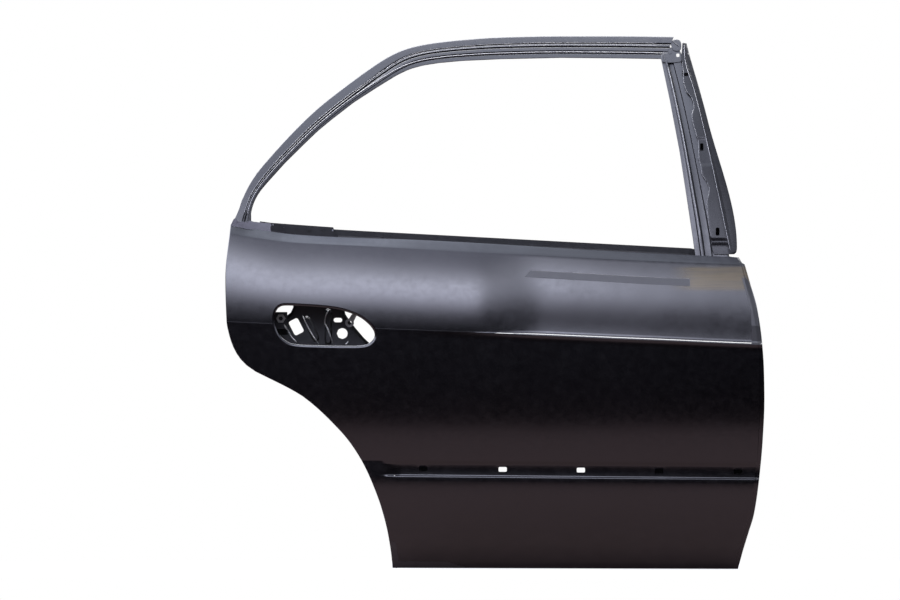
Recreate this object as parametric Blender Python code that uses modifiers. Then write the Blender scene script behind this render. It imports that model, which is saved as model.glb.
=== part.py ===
"""Right rear door shell of a saloon car: bare pressed steel in black primer.

Lengths are in metres. +X points to the front of the car, -Y outboard, +Z up. The origin lies on
the outside of the front wall, where the upper hinge bolts on. A depth is a distance inboard from
the skin's outermost point. Outlines are measured in pixels of the reference view, PX values, and
the door's length and height turn them into metres.
"""

import math
from collections import namedtuple

import bmesh
import bpy
from mathutils import Vector
from mathutils.bvhtree import BVHTree

# Overall size, and the edges of the door in the reference view
DOOR_LENGTH = 1.079
DOOR_HEIGHT = 1.068
REAR_EDGE_PX, FRONT_EDGE_PX = 225.0, 764.5
TOP_EDGE_PX, BOTTOM_EDGE_PX = 35.2, 569.2

# Sheet gauges, and the gap at every seam
SKIN_GAUGE = 0.0008
PANEL_GAUGE = 0.0008
FRAME_GAUGE = 0.0012
BRACKET_GAUGE = 0.0015
HINGE_GAUGE = 0.0025
SEAM_GAP = 0.0003
OVERRUN = 0.004

# Depths of the main layers
HINGE_DEPTH = 0.066
GLASS_DEPTH = 0.068
FACE_DEPTH = 0.122

# Section of the outer skin
BELT_LEAN = 0.030
BELT_CHAMFER = 0.007
BELT_TURN = 0.010
BELT_FLANGE = 0.016
LEDGE_HEIGHT = 0.0046
LEDGE_STEP = 0.0022
UNDERCUT = 0.006
UNDERCUT_HEIGHT = 0.014
SIDE_HOLLOW = 0.010
SILL_TUCK = 0.032
PLAN_BOW = 0.010
GROOVE_DEPTH = 0.0045
FRONT_STRIP = 0.009
STRIP_DROP = 0.003
HEM_WIDTH = 0.009
HEM_SLACK = 0.0012
HEM_DEPTH = 2 * SKIN_GAUGE + PANEL_GAUGE + 2 * SEAM_GAP + HEM_SLACK
HEM_INSET = SKIN_GAUGE + 2 * SEAM_GAP
CREASE_FADE_SHARE = 0.3

# Outline of the skin
REAR_OUTLINE_PX = (
    (230.5, 224.6), (225.3, 278.6), (226.5, 320.8), (229.1, 334.7), (234.0, 348.7), (242.4, 361.4),
    (253.7, 370.5), (276.1, 381.7), (298.6, 393.6), (314.3, 405.5), (330.6, 420.8), (349.0, 441.2),
    (363.3, 463.7), (373.5, 486.1), (381.6, 508.6), (387.8, 533.1), (391.8, 559.6), (392.5, 569.2),
)
FRONT_OUTLINE_PX = (
    (739.0, 256.0), (744.9, 266.0), (750.7, 284.8), (757.0, 307.1), (761.9, 340.0), (764.0, 370.0),
    (764.5, 400.0), (762.8, 440.0), (759.1, 480.4), (754.0, 514.8), (749.5, 530.0), (743.0, 551.4),
    (738.3, 569.2),
)

# Lines that run along the skin, from the rear edge to the front edge
BELT_PX = (
    (225.0, 224.0), (230.6, 224.5), (247.4, 228.0), (268.0, 231.0), (293.9, 234.4), (336.9, 237.0),
    (420.0, 240.0), (640.0, 252.7), (745.0, 257.6),
)
BELT_BREAK_PX = (
    (225.0, 232.6), (247.4, 236.6), (293.9, 242.4), (360.0, 245.6), (420.0, 249.1), (640.0, 260.7),
    (745.0, 264.6),
)
CREASE_PX = ((225.0, 322.0), (380.0, 330.0), (500.0, 334.4), (757.0, 343.4), (765.0, 343.7))
GROOVE_TOP_PX = ((360.0, 460.4), (765.0, 463.0))
FLOOR_TOP_PX = ((360.0, 463.6), (765.0, 466.4))
FLOOR_LOW_PX = ((360.0, 471.8), (765.0, 475.0))
GROOVE_LOW_PX = ((360.0, 476.0), (765.0, 479.6))
SILL_PX = ((385.0, 568.1), (745.0, 569.2))
GROOVE_TIP_PX, GROOVE_FULL_PX = 384.0, 398.0
CREASE_RISE_PX, CREASE_FULL_PX = 380.0, 540.0

# Columns of the skin's mesh, as shares of its width
SKIN_COLUMN_SHARES = (
    0.0, 0.047, 0.070, 0.095, 0.15, 0.22, 0.30, 0.38, 0.46, 0.55, 0.64, 0.73, 0.82, 0.91, 1.0,
)

SHOULDER_ROWS, SIDE_ROWS, SILL_ROW_COUNT = 5, 8, 5
BOW_TURN_SHARE = 0.7

# Openings in the skin
HANDLE_EDGE_PX = (
    (274.6, 318.0), (275.8, 312.0), (279.2, 307.4), (285.8, 305.6), (305.0, 306.4), (325.4, 307.9),
    (342.2, 310.6), (358.9, 316.8), (370.1, 325.7), (374.6, 334.0), (372.0, 340.8), (363.4, 345.0),
    (342.2, 345.5), (318.0, 345.0), (297.5, 344.1), (287.5, 341.3), (279.7, 334.6), (275.4, 326.0),
)
HANDLE_POINTS = 32
HANDLE_RIM = 0.0052
HANDLE_LIP_DEPTH = 0.010
HANDLE_LIP_STEPS = (
    (HANDLE_RIM, 0), (HANDLE_RIM / 2, HANDLE_LIP_DEPTH / 10), (0, HANDLE_LIP_DEPTH / 3),
    (0, HANDLE_LIP_DEPTH),
)
CLIP_HOLES_PX = ((423.3, 468.7), (502.7, 469.4), (580.9, 470.1), (659.1, 470.9), (738.1, 471.8))
CLIP_HOLE_LENGTH = 0.0165
CLIP_HOLE_HEIGHT = 0.0095

# Inner panel
PANEL_FLANGE = 0.013
HINGE_PX = (752.0, 340.0)
LOWER_HINGE_PX = (746.0, 490.0)
LATCH_PX = (233.0, 300.0)
HINGE_PAD = 0.106
LATCH_PAD = 0.100
INNER_BELT_PX = ((225.0, 222.0), (334.0, 229.3), (450.0, 235.4), (640.0, 245.5), (745.0, 251.0))
PANEL_COLUMNS = 12
RIM_WIDTH = 0.006
RIM_RISE = 0.004
BEAD_RISE = 0.004
SERVICE_HOLES_PX = {
    "front_service_hole": ((540, 290), (600, 284), (672, 292), (680, 330), (668, 372), (600, 380),
                           (535, 372), (526, 330)),
    "middle_service_hole": ((412, 296), (450, 292), (494, 294), (502, 330), (494, 366), (450, 372),
                            (412, 366), (404, 330)),
    "lower_service_hole": ((448, 424), (505, 420), (582, 424), (592, 450), (586, 480), (505, 484),
                           (448, 477), (438, 450)),
    "handle_rear_hole": ((258, 298), (275, 296), (292, 298), (292.5, 309), (285.5, 316.5),
                         (270, 318), (257, 314), (254, 306)),
    "handle_front_hole": ((350, 298), (368, 297), (384, 304), (388, 324), (384, 344), (371, 345),
                          (361, 335), (350.5, 322.5), (344.5, 313), (344, 303)),
}
HOLE_POINTS = 14
SPEAKER_PX = (680.0, 516.0)
SPEAKER_RADIUS = 0.054
HANDLE_WINDOW_PX = (295.9, 326.8)
HANDLE_WINDOW_LENGTH = 0.0205
HANDLE_WINDOW_HEIGHT = 0.0310
HANDLE_WINDOW_TURN_DEGREES = 27
HANDLE_SLOT_PX = (337.7, 320.1)
HANDLE_SLOT_LENGTH = 0.0172
HANDLE_SLOT_HEIGHT = 0.0088
HANDLE_HOLE_PX = (342.2, 333.5)
HANDLE_HOLE_RADIUS = 0.0113
BEADS_PX = (
    ((305, 316), (317, 342)), ((328, 308), (328, 345)), ((420, 266), (650, 275)),
    ((424, 392), (660, 400)), ((470, 505), (632, 508)),
    ((268, 268), (380, 274)),
)
BEAD_WIDTH = 0.016
CLIP_RADIUS = 0.004
TRIM_CLIPS_PX = (
    (262, 345), (398, 386), (516, 410), (722, 400), (730, 530), (640, 548), (440, 548),
    (404, 470), (372, 424),
)
HARNESS_PX = (752.0, 382.0)
HARNESS_RADIUS = 0.015
CHECK_PX = (752.0, 410.0)
CHECK_SLOT_HEIGHT = 0.014
CHECK_SLOT_DEPTH = 0.030
HINGE_PITCH = 0.046
BOLT_HOLE_RADIUS = 0.0055
LATCH_Y = 0.004
LATCH_PITCH = 0.036
SCREW_HOLE_RADIUS = 0.0035
LATCH_MOUTH_DEPTH = 0.024
LATCH_MOUTH_HEIGHT = 0.020

# Upper frame: its outer and inner edges in step, from the rear foot to the front corner
FRAME_EDGES_PX = (
    ((231.9, 224.2), (249.8, 223.0)), ((232.6, 221.6), (249.8, 220.0)),
    ((236.2, 215.0), (250.8, 212.9)),
    ((240.9, 200.0), (252.9, 203.5)), ((246.5, 189.0), (258.8, 192.4)),
    ((255.5, 173.0), (266.9, 182.7)), ((272.0, 154.6), (284.5, 163.1)),
    ((291.8, 132.9), (303.5, 144.2)), ((305.0, 119.6), (317.4, 130.8)),
    ((318.6, 106.1), (331.5, 119.1)), ((341.0, 89.2), (353.5, 102.0)),
    ((364.5, 71.7), (376.0, 87.4)), ((376.0, 63.6), (386.2, 81.0)),
    ((387.6, 56.3), (396.6, 74.6)), ((402.8, 48.9), (409.0, 68.6)),
    ((418.0, 44.8), (422.4, 64.8)), ((436.0, 41.8), (439.0, 62.2)),
    ((460.0, 39.2), (462.0, 60.1)), ((500.0, 36.4), (501.0, 58.3)),
    ((561.6, 35.2), (561.8, 57.0)), ((620.0, 35.2), (620.0, 57.5)),
    ((673.4, 36.3), (665.0, 58.2)),
)
INNER_FOOT_PX = (
    ((241.0, 262.0), (257.0, 262.0)), ((239.5, 232.0), (254.0, 232.0)),
    ((239.2, 222.0), (251.0, 221.5)),
)
SLOPE_END_PX, HEADER_START_PX = 330.0, 430.0
GLASS_SLOPE_SHARE = 0.20
GLASS_CURVE_SHARE = 0.42
FRAME_STAND = 0.012
FRAME_BACK = 0.018
FRAME_LIP = 0.006
FRAME_LEG = 0.003
FOOT_BLEND = 0.070

# Sections of the frame, from its outer edge to the glass: the share of the width along the
# header, the same along the rear slope, and the share of FRAME_STAND outboard of the glass
FRAME_SECTION_SHARES = (
    (0.00, 0.00, -0.17), (0.00, 0.00, 0.50), (0.045, 0.05, 0.88), (0.25, 0.52, 1.00),
    (0.29, 0.56, 0.62), (0.345, 0.60, 0.62), (0.375, 0.625, 0.92), (0.43, 0.655, 0.92),
    (0.455, 0.68, 0.54), (0.505, 0.715, 0.54), (0.525, 0.73, 0.79), (0.64, 0.77, 0.79),
    (0.66, 0.785, 0.46), (0.69, 0.80, 0.46), (0.71, 0.815, 0.75), (0.745, 0.83, 0.75),
    (0.77, 0.85, 0.40), (0.84, 0.90, 0.30), (0.84, 0.90, 0.18), (0.77, 0.85, 0.26),
    (0.66, 0.785, 0.32), (0.50, 0.70, 0.36), (0.30, 0.56, 0.44), (0.08, 0.08, 0.58),
    (0.035, 0.04, 0.40), (0.035, 0.04, -0.17),
)
SASH_SECTION_SHARES = (
    (0.00, -0.17), (0.00, 0.45), (0.04, 0.60), (0.48, 0.60), (0.52, 0.25), (0.70, 0.25),
    (0.74, 0.85), (0.82, 0.85), (0.85, 0.40), (0.93, 0.30), (1.00, 0.25), (1.00, 0.12),
    (0.93, 0.15), (0.85, 0.20), (0.54, 0.10), (0.47, 0.42), (0.06, 0.42), (0.035, 0.30),
    (0.035, -0.17),
)
BOX_START_SHARE, BOX_END_SHARE = 0.05, 0.70

# Front sash: its front edge and its window edge in step, from the top to the foot in the door
SASH_EDGES_PX = (
    ((684.5, 58.8), (662.3, 60.4)), ((696.5, 100.0), (670.5, 100.0)),
    ((708.2, 151.0), (680.0, 151.0)), ((718.5, 196.0), (686.8, 196.0)),
    ((728.0, 240.0), (693.3, 240.0)), ((729.0, 256.0), (695.5, 256.0)),
    ((731.0, 268.0), (697.5, 268.0)), ((735.0, 318.0), (705.0, 318.0)),
)
SASH_INNER_STATIONS = 7

# Pillar bracket: its wavy rear edge, its fold and its front edge, from the top down
BRACKET_REAR_PX = (
    (683.2, 42.2), (682.6, 50.0), (681.7, 58.3), (683.3, 64.6), (684.0, 78.9), (687.2, 91.0),
    (691.9, 96.5), (694.3, 106.5), (692.3, 115.0), (696.3, 133.4), (698.6, 141.0), (699.2, 159.0),
    (700.8, 165.0), (702.0, 173.0), (707.6, 183.2), (709.3, 190.0), (707.0, 203.0),
    (708.2, 220.0), (710.8, 238.0), (711.6, 242.5), (712.4, 250.5), (714.0, 254.2),
)
BRACKET_FOLD_PX = ((685.2, 42.2), (685.9, 56.7), (695.2, 90.0), (702.7, 119.5), (729.9, 246.1))
BRACKET_FRONT_PX = (
    (687.4, 42.2), (690.5, 54.4), (700.6, 90.0), (708.5, 120.0), (737.3, 247.2), (736.7, 252.0),
    (734.2, 254.4),
)
BRACKET_RETURN = 0.011
BRACKET_PAD_PX = (139.0, 163.0)
BRACKET_STEP_PX = 240.0
BRACKET_PAD_DROP = 0.0015
BRACKET_STEP_DROP = 0.0040
BRACKET_HOLES_PX = (
    ((686.8, 73.9), 0.0086, 0.0076), ((702.2, 148.0), 0.0050, 0.0170),
    ((717.9, 229.0), 0.0100, 0.0170),
)

# Corner of the frame, and the bracket at the rear of the belt
CAP_OUTLINE_PX = (
    (669.5, 37.0), (675.0, 37.4), (679.4, 39.4), (681.4, 43.6), (681.6, 56.0), (677.0, 60.0),
    (670.0, 58.0), (667.5, 50.0),
)
CAP_HOLE_PX = (679.0, 52.0)
CAP_HOLE_RADIUS = 0.0030
GUSSET_OUTLINE_PX = (
    (652.0, 38.0), (672.0, 38.0), (679.0, 42.0), (683.0, 58.0), (691.0, 88.0), (687.0, 94.0),
    (676.0, 94.0), (668.0, 66.0), (652.0, 56.0),
)
GUSSET_STAND = 0.0010
BELT_BRACKET_PX = (
    (259.5, 221.1), (270.6, 222.6), (300.0, 224.8), (333.0, 227.1), (334.0, 230.0), (334.0, 243.0),
    (300.0, 241.0), (268.0, 238.0), (259.5, 236.0),
)

BELT_NUBS_PX = ((282.4, 226.0), (308.4, 228.8), (322.4, 228.8))
NUB_RADIUS = 0.0035

# Belt reinforcements, with their sections as (z from the belt, y) steps
BELT_ENDS_PX = (262.0, 690.0)
HAT_START_PX = 338.0
BELT_STATIONS = 9
BELT_SEAT = 0.002
BELT_SWING = 0.048
BELT_FOOT = 0.062
HAT_HEIGHTS = (0.003, 0.012, 0.016, 0.031, 0.035, 0.044)
HAT_RISE = 0.018

# Impact beam, its brackets and the mastic pads between it and the skin
BEAM_REAR_PX, BEAM_FRONT_PX = (303.0, 369.0), (742.0, 440.0)
BEAM_REAR_DEPTH, BEAM_FRONT_DEPTH = 0.036, 0.043
BEAM_RADIUS = 0.0125
BEAM_WALL = 0.002
SADDLE_LENGTH = 0.030
SADDLE_BLEND = 0.022
SADDLE_FLANGE = 0.022
SADDLE_SPREAD_PX = 13.0
PAD_SHARES = (0.18, 0.5, 0.8)
PAD_LENGTH = 0.040
PAD_HEIGHT = 0.018

# Plates inside the walls
HINGE_PLATE_HALF = 0.034
HINGE_PLATE_DEPTH = 0.032
HINGE_LEG = 0.050
CHECK_PLATE_HALF_PX = 16.0
CHECK_PLATE_DEPTH = 0.040
CHECK_PITCH = 0.044
LATCH_PLATE_HALF = 0.046
LATCH_PLATE_DEPTH = 0.042
LATCH_LEG = 0.024
NUT_RADIUS = 0.0095
NUT_HEIGHT = 0.008
NUT_HOLE_RADIUS = 0.0045

# Brackets behind the handle opening and at the foot of the sash
BOSS_BRACKET_PX = ((273.0, 287.0), (345.0, 335.0, 329.0, 312.0))
BOSS_RISE = 0.006
BOSS_PX = (280.5, 318.5)
STRAP_PX = (349.4, 322.9)
STRAP_ARM_PX = (355.0, 313.5)
STRAP_RADIUS = 0.0088
STRAP_HOLE_RADIUS = 0.0042
SASH_BRACKET_PX = ((708.0, 722.0, 692.0), (316.0, 288.0))
SASH_BRACKET_RISE = 0.0025


def clamp(value, low=0.0, high=1.0):
    return max(low, min(high, value))


def mix(a, b, share):
    return a + (b - a) * share


def ease(share):
    share = clamp(share)
    return share * share * (3 - 2 * share)


def across(px):
    """The x of a column of the reference view."""
    return (px - HINGE_PX[0]) * DOOR_LENGTH / (FRONT_EDGE_PX - REAR_EDGE_PX)


def tall(px):
    """The height of a number of rows of the reference view."""
    return px * DOOR_HEIGHT / (BOTTOM_EDGE_PX - TOP_EDGE_PX)


def above(px):
    """The z of a row of the reference view."""
    return tall(HINGE_PX[1] - px)


def place(pixel):
    return across(pixel[0]), above(pixel[1])


def inboard(depth):
    """The y of a depth."""
    return depth - HINGE_DEPTH


def interpolate(table, at):
    """A value on the straight lines through a table of pairs, which rises in its first number."""
    for (a, u), (b, v) in zip(table, table[1:]):
        if at <= b:
            break
    return mix(u, v, clamp((at - a) / (b - a)))


def line_of(points_px):
    """The height of a line that runs along the door, as a function of x."""
    table = [place(pixel) for pixel in points_px]
    return lambda x: interpolate(table, x)


def edge_of(points_px):
    """The x of an edge that runs down the door, as a function of z."""
    table = sorted((above(py), across(px)) for px, py in points_px)
    return lambda z: interpolate(table, z)


belt_line = line_of(BELT_PX)
belt_break = line_of(BELT_BREAK_PX)
crease_line = line_of(CREASE_PX)
groove_top = line_of(GROOVE_TOP_PX)
floor_top = line_of(FLOOR_TOP_PX)
floor_low = line_of(FLOOR_LOW_PX)
groove_low = line_of(GROOVE_LOW_PX)
sill_line = line_of(SILL_PX)
inner_belt = line_of(INNER_BELT_PX)
rear_edge = edge_of(REAR_OUTLINE_PX)
front_edge = edge_of(FRONT_OUTLINE_PX)


def ledge_line(x):
    return crease_line(x) + LEDGE_HEIGHT


def undercut_line(x):
    return crease_line(x) - UNDERCUT_HEIGHT


# Scene, materials and small helpers for making objects


def clear_scene():
    for obj in list(bpy.data.objects):
        bpy.data.objects.remove(obj, do_unlink=True)


def new_collection(name):
    collection = bpy.data.collections.new(name)
    bpy.context.scene.collection.children.link(collection)
    return collection


def new_material(name, colour, roughness, metallic):
    material = bpy.data.materials.new(name)
    material.use_nodes = True
    shader = material.node_tree.nodes["Principled BSDF"]
    shader.inputs["Base Color"].default_value = (*colour, 1.0)
    shader.inputs["Roughness"].default_value = roughness
    shader.inputs["Metallic"].default_value = metallic
    material.diffuse_color = (*colour, 1.0)
    return material


clear_scene()
door = new_collection("car_door_shell")
tools = new_collection("cutters")


def new_object(name, bm, material=None, collection=None):
    mesh = bpy.data.meshes.new(name)
    bm.to_mesh(mesh)
    bm.free()
    obj = bpy.data.objects.new(name, mesh)
    (collection or door).objects.link(obj)
    if material:
        mesh.materials.append(material)
    return obj


def from_faces(name, points, faces, material=None, collection=None):
    bm = bmesh.new()
    corners = [bm.verts.new(point) for point in points]
    for face in faces:
        bm.faces.new([corners[i] for i in face])
    bm.normal_update()
    return new_object(name, bm, material, collection)


def as_tool(obj):
    """Marks an object as a cutter, or as a piece that is joined into another."""
    for collection in list(obj.users_collection):
        collection.objects.unlink(obj)
    tools.objects.link(obj)
    obj.hide_render = True
    obj.display_type = "WIRE"
    return obj


def thicken(obj, gauge):
    """Gives an open surface its sheet thickness, away from the side that it faces."""
    solid = obj.modifiers.new("gauge", "SOLIDIFY")
    solid.thickness = gauge
    solid.offset = -1
    solid.use_even_offset = True
    return obj


def boolean(obj, other, operation="DIFFERENCE"):
    modifier = obj.modifiers.new(other.name, "BOOLEAN")
    modifier.operation = operation
    modifier.object = other
    modifier.solver = "EXACT"
    return obj


def smooth(obj, degrees=35):
    obj.data.shade_smooth()
    obj.data.set_sharp_from_angle(angle=math.radians(degrees))
    return obj


def loft(loops, closed_loops=True, cap_ends=False):
    """(points, faces) of a skin through loops that hold the same number of points."""
    count = len(loops[0])
    points = [point for loop in loops for point in loop]
    faces = []
    for i in range(len(loops) - 1):
        for j in range(count if closed_loops else count - 1):
            k = (j + 1) % count
            faces.append((i * count + j, (i + 1) * count + j, (i + 1) * count + k, i * count + k))
    if cap_ends:
        faces.append(tuple(range(count)))
        faces.append(tuple(reversed(range((len(loops) - 1) * count, len(loops) * count))))
    return points, faces


def face_outward(obj):
    bm = bmesh.new()
    bm.from_mesh(obj.data)
    bmesh.ops.recalc_face_normals(bm, faces=bm.faces)
    bm.to_mesh(obj.data)
    bm.free()
    return obj


def solid_between(name, loops, material=None):
    """A closed solid lofted through closed loops, with both ends capped."""
    points, faces = loft(loops, cap_ends=True)
    return face_outward(from_faces(name, points, faces, material))


def prism(name, outline, low_y, high_y):
    """A cutter: an outline of (x, z) points drawn from low_y to high_y."""
    loops = [[Vector((x, y, z)) for x, z in outline] for y in (low_y, high_y)]
    return as_tool(solid_between(name, loops))


def rod(name, start, end, radius, sides=20):
    """A cylinder between two points."""
    start, end = Vector(start), Vector(end)
    bm = bmesh.new()
    bmesh.ops.create_cone(
        bm, cap_ends=True, segments=sides, radius1=radius, radius2=radius, depth=(end - start).length
    )
    turn = (end - start).to_track_quat("Z", "Y").to_matrix().to_4x4()
    bmesh.ops.transform(bm, matrix=turn, verts=bm.verts)
    bmesh.ops.translate(bm, vec=(start + end) / 2, verts=bm.verts)
    return new_object(name, bm)


def box(name, low, high):
    """A box between two corners."""
    low, high = Vector(low), Vector(high)
    bm = bmesh.new()
    bmesh.ops.create_cube(bm, size=1)
    bmesh.ops.scale(bm, vec=high - low, verts=bm.verts)
    bmesh.ops.translate(bm, vec=(low + high) / 2, verts=bm.verts)
    return new_object(name, bm)


def rounded(points, count):
    """A closed smooth curve of count points through hand-chosen (x, z) points."""
    total = len(points)
    curve = []
    for step in range(count):
        at = step * total / count
        i = int(at)
        t = at - i
        a, b, c, d = (Vector(points[(i + k) % total]) for k in (-1, 0, 1, 2))
        curve.append(
            (b * 2 + (c - a) * t + (a * 2 - b * 5 + c * 4 - d) * t * t
             + (b * 3 - a - c * 3 + d) * t * t * t) / 2
        )
    return [tuple(point) for point in curve]


def grown(outline, distance):
    """A closed outline of (x, z) points moved outward by a distance."""
    area = sum(a[0] * b[1] - b[0] * a[1] for a, b in zip(outline, outline[1:] + outline[:1]))
    side = 1 if area > 0 else -1
    moved = []
    for i, point in enumerate(outline):
        here = Vector(point)
        before = (here - Vector(outline[i - 1])).normalized()
        after = (Vector(outline[(i + 1) % len(outline)]) - here).normalized()
        along = (before + after).normalized()
        step = side * distance / max(along.dot(before), 0.5)
        moved.append((point[0] + step * along.y, point[1] - step * along.x))
    return moved


def slot_outline(centre, length, height, corner, steps=3, turn=0.0):
    """A rectangle of (x, z) points with rounded corners, turned about its centre."""
    outline = []
    for sx, sz, first in ((1, 1, 0), (-1, 1, 90), (-1, -1, 180), (1, -1, 270)):
        for step in range(steps + 1):
            angle = math.radians(first + 90 * step / steps)
            x = sx * (length / 2 - corner) + corner * math.cos(angle)
            z = sz * (height / 2 - corner) + corner * math.sin(angle)
            outline.append((
                centre[0] + x * math.cos(turn) - z * math.sin(turn),
                centre[1] + x * math.sin(turn) + z * math.cos(turn),
            ))
    return [
        point for i, point in enumerate(outline) if math.dist(point, outline[i - 1]) > SEAM_GAP
    ]


PRIMER = new_material("black_primer", (0.018, 0.018, 0.020), 0.38, 0.0)
FRAME_PRIMER = new_material("frame_primer", (0.060, 0.064, 0.075), 0.35, 0.0)
STEEL = new_material("zinc_steel", (0.42, 0.42, 0.40), 0.40, 1.0)
MASTIC = new_material("mastic", (0.10, 0.10, 0.10), 0.85, 0.0)

# Section of the skin, as rows that run from the rear edge to the front edge

Row = namedtuple("Row", "height depth")


def crease_share(x):
    """How strongly the crease is pressed at x. It fades towards the rear."""
    rise, full = across(CREASE_RISE_PX), across(CREASE_FULL_PX)
    return mix(CREASE_FADE_SHARE, 1.0, ease((x - rise) / (full - rise)))


def groove_share(x):
    """How deep the moulding groove is at x. It runs out behind its tip."""
    tip, full = across(GROOVE_TIP_PX), across(GROOVE_FULL_PX)
    return ease((x - tip) / (full - tip))


def chamfer_depth(_x, share):
    return BELT_LEAN + BELT_CHAMFER * (1 - share)


def shoulder_depth(x, share):
    return mix(BELT_LEAN, LEDGE_STEP * crease_share(x), 1 - (1 - share) ** 1.7)


def ledge_depth(x, share):
    return LEDGE_STEP * crease_share(x) * (1 - share)


def undercut_depth(x, share):
    return UNDERCUT * crease_share(x) * (1 - (1 - share) ** 2)


def side_depth(x, share):
    return undercut_depth(x, 1) + SIDE_HOLLOW * (1 - (1 - share) ** 2)


def floor_depth(x, _share):
    return side_depth(x, 1) + GROOVE_DEPTH * groove_share(x)


def sill_depth(x, share):
    return side_depth(x, 1) + SILL_TUCK * share ** 1.8


def band(upper, lower, shares, depth):
    """Rows between two lines, at shares of the way down."""
    return [
        Row(lambda x, s=s: mix(upper(x), lower(x), s), lambda x, s=s: depth(x, s)) for s in shares
    ]


def even_shares(steps):
    return [step / steps for step in range(steps)]


UPPER_ROWS = (
    band(belt_line, belt_break, [0], chamfer_depth)
    + band(belt_break, ledge_line, even_shares(SHOULDER_ROWS), shoulder_depth)
    + band(ledge_line, crease_line, [0], ledge_depth)
    + band(crease_line, undercut_line, [0, 0.35], undercut_depth)
    + band(undercut_line, groove_top, even_shares(SIDE_ROWS), side_depth)
)
GROOVE_ROWS = (
    band(groove_top, floor_top, [0], lambda x, _share: side_depth(x, 1))
    + band(floor_top, floor_low, [0], floor_depth)
    + band(floor_low, groove_low, [0], floor_depth)
)
SILL_ROWS = band(groove_low, sill_line, even_shares(SILL_ROW_COUNT), sill_depth)
LAST_ROWS = band(groove_low, sill_line, [1], sill_depth)


def row_end(row, edge, x):
    """Where a row meets an edge of the door, from a first guess x."""
    for _ in range(12):
        x = edge(row.height(x))
    return x


def bow_depth(x):
    middle = across((REAR_EDGE_PX + FRONT_EDGE_PX) / 2)
    return PLAN_BOW * ((x - middle) / (DOOR_LENGTH / 2)) ** 2


def belt_turn(x):
    """How far the top of the skin is turned inboard."""
    return BELT_TURN - BOW_TURN_SHARE * bow_depth(x)


def skin_points(row):
    x_rear = row_end(row, rear_edge, across(REAR_EDGE_PX))
    x_front = row_end(row, front_edge, across(FRONT_EDGE_PX))
    x_fold = x_front - FRONT_STRIP
    points = []
    for x in [mix(x_rear, x_fold, share) for share in SKIN_COLUMN_SHARES] + [x_front]:
        drop = STRIP_DROP * clamp((x - x_fold) / FRONT_STRIP)
        points.append(Vector((x, inboard(row.depth(x) + bow_depth(x) + drop), row.height(x))))
    return points


SKIN_ROWS = UPPER_ROWS + GROOVE_ROWS + SILL_ROWS + LAST_ROWS
SKIN_GRID = [skin_points(row) for row in SKIN_ROWS]
SKIN_TREE = BVHTree.FromPolygons(*loft(SKIN_GRID, closed_loops=False))


def skin_y(x, z):
    """The y of the skin's outside face at (x, z), or at the nearest place further in."""
    place_on = Vector((x, inboard(-OVERRUN), z))
    centre = Vector((across((REAR_EDGE_PX + FRONT_EDGE_PX) / 2), inboard(-OVERRUN), 0))
    for _ in range(20):
        hit = SKIN_TREE.ray_cast(place_on, Vector((0, 1, 0)))[0]
        if hit:
            return hit.y
        place_on += (centre - place_on).normalized() * SEAM_GAP * 2
    return SKIN_TREE.find_nearest(place_on)[0].y


def edge_slope(edge, z):
    return (edge(z + HEM_WIDTH) - edge(z - HEM_WIDTH)) / (2 * HEM_WIDTH)


def from_edge(edge, distance, side):
    """The line at a distance into the door from one of its edges, as an x for each z."""
    return lambda z: edge(z) + side * distance * math.hypot(1, edge_slope(edge, z))


def hem_points():
    """The free edge of the hem: down the rear, along the bottom and up the front."""
    rear, front = from_edge(rear_edge, HEM_WIDTH, 1), from_edge(front_edge, HEM_WIDTH, -1)
    free = []
    for row in SKIN_ROWS[1:-1]:
        x = row_end(row, rear, across(REAR_EDGE_PX))
        free.append((x, row.height(x)))
    low = Row(lambda x: sill_line(x) + HEM_WIDTH, None)
    ends = row_end(low, rear, across(REAR_EDGE_PX)), row_end(low, front, across(FRONT_EDGE_PX))
    bottom = [ends[0]] + [point.x for point in SKIN_GRID[-1][1:-1]] + [ends[1]]
    free += [(x, low.height(x)) for x in bottom]
    for row in reversed(SKIN_ROWS[1:-1]):
        x = row_end(row, front, across(FRONT_EDGE_PX))
        free.append((x, row.height(x)))
    return [Vector((x, skin_y(x, z) + HEM_DEPTH, z)) for x, z in free]


def shift(vector, x=0.0, y=0.0, z=0.0):
    return vector + Vector((x, y, z))


def face_outboard(obj):
    """Turns an open surface so that it faces outboard."""
    bm = bmesh.new()
    bm.from_mesh(obj.data)
    bmesh.ops.recalc_face_normals(bm, faces=bm.faces)
    if sum(face.normal.y * face.calc_area() for face in bm.faces) > 0:
        bmesh.ops.reverse_faces(bm, faces=bm.faces)
    bm.to_mesh(obj.data)
    bm.free()
    return obj


def rise_loop(outline, surface, growth, rise):
    return [Vector((x, surface(x, z) + rise, z)) for x, z in grown(outline, growth)]


def sheet_cutter(name, outline, surface):
    """A cutter for an outline in a sheet whose outboard face is surface(x, z)."""
    middle = surface(*outline[0])
    return prism(name, outline, middle - 3 * OVERRUN, middle + 3 * OVERRUN)


def lip_tools(name, outline, surface, steps, gauge):
    """(cutter, shell) that roll the edge of a hole. Each step is a growth and a rise."""
    first = [(steps[0][0], gauge / 4)]
    loops = [rise_loop(outline, surface, *step) for step in first + list(steps[1:])]
    shell = face_outboard(from_faces(name, *loft(loops)))
    cutter = sheet_cutter(name + "_cut", grown(outline, steps[0][0] - gauge), surface)
    return cutter, thicken(as_tool(shell), gauge)


def boss_tools(name, outline, surface, rise, gauge):
    """(cutter, shell) that press a flat-topped boss, outboard where the rise is negative."""
    steps = (
        (-abs(rise), rise), (0, gauge / 4), (-gauge, gauge + gauge / 4),
        (-abs(rise) - gauge, rise + gauge),
    )
    shell = solid_between(name, [rise_loop(outline, surface, *step) for step in steps])
    return sheet_cutter(name + "_cut", grown(outline, -gauge / 2), surface), as_tool(shell)


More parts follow.
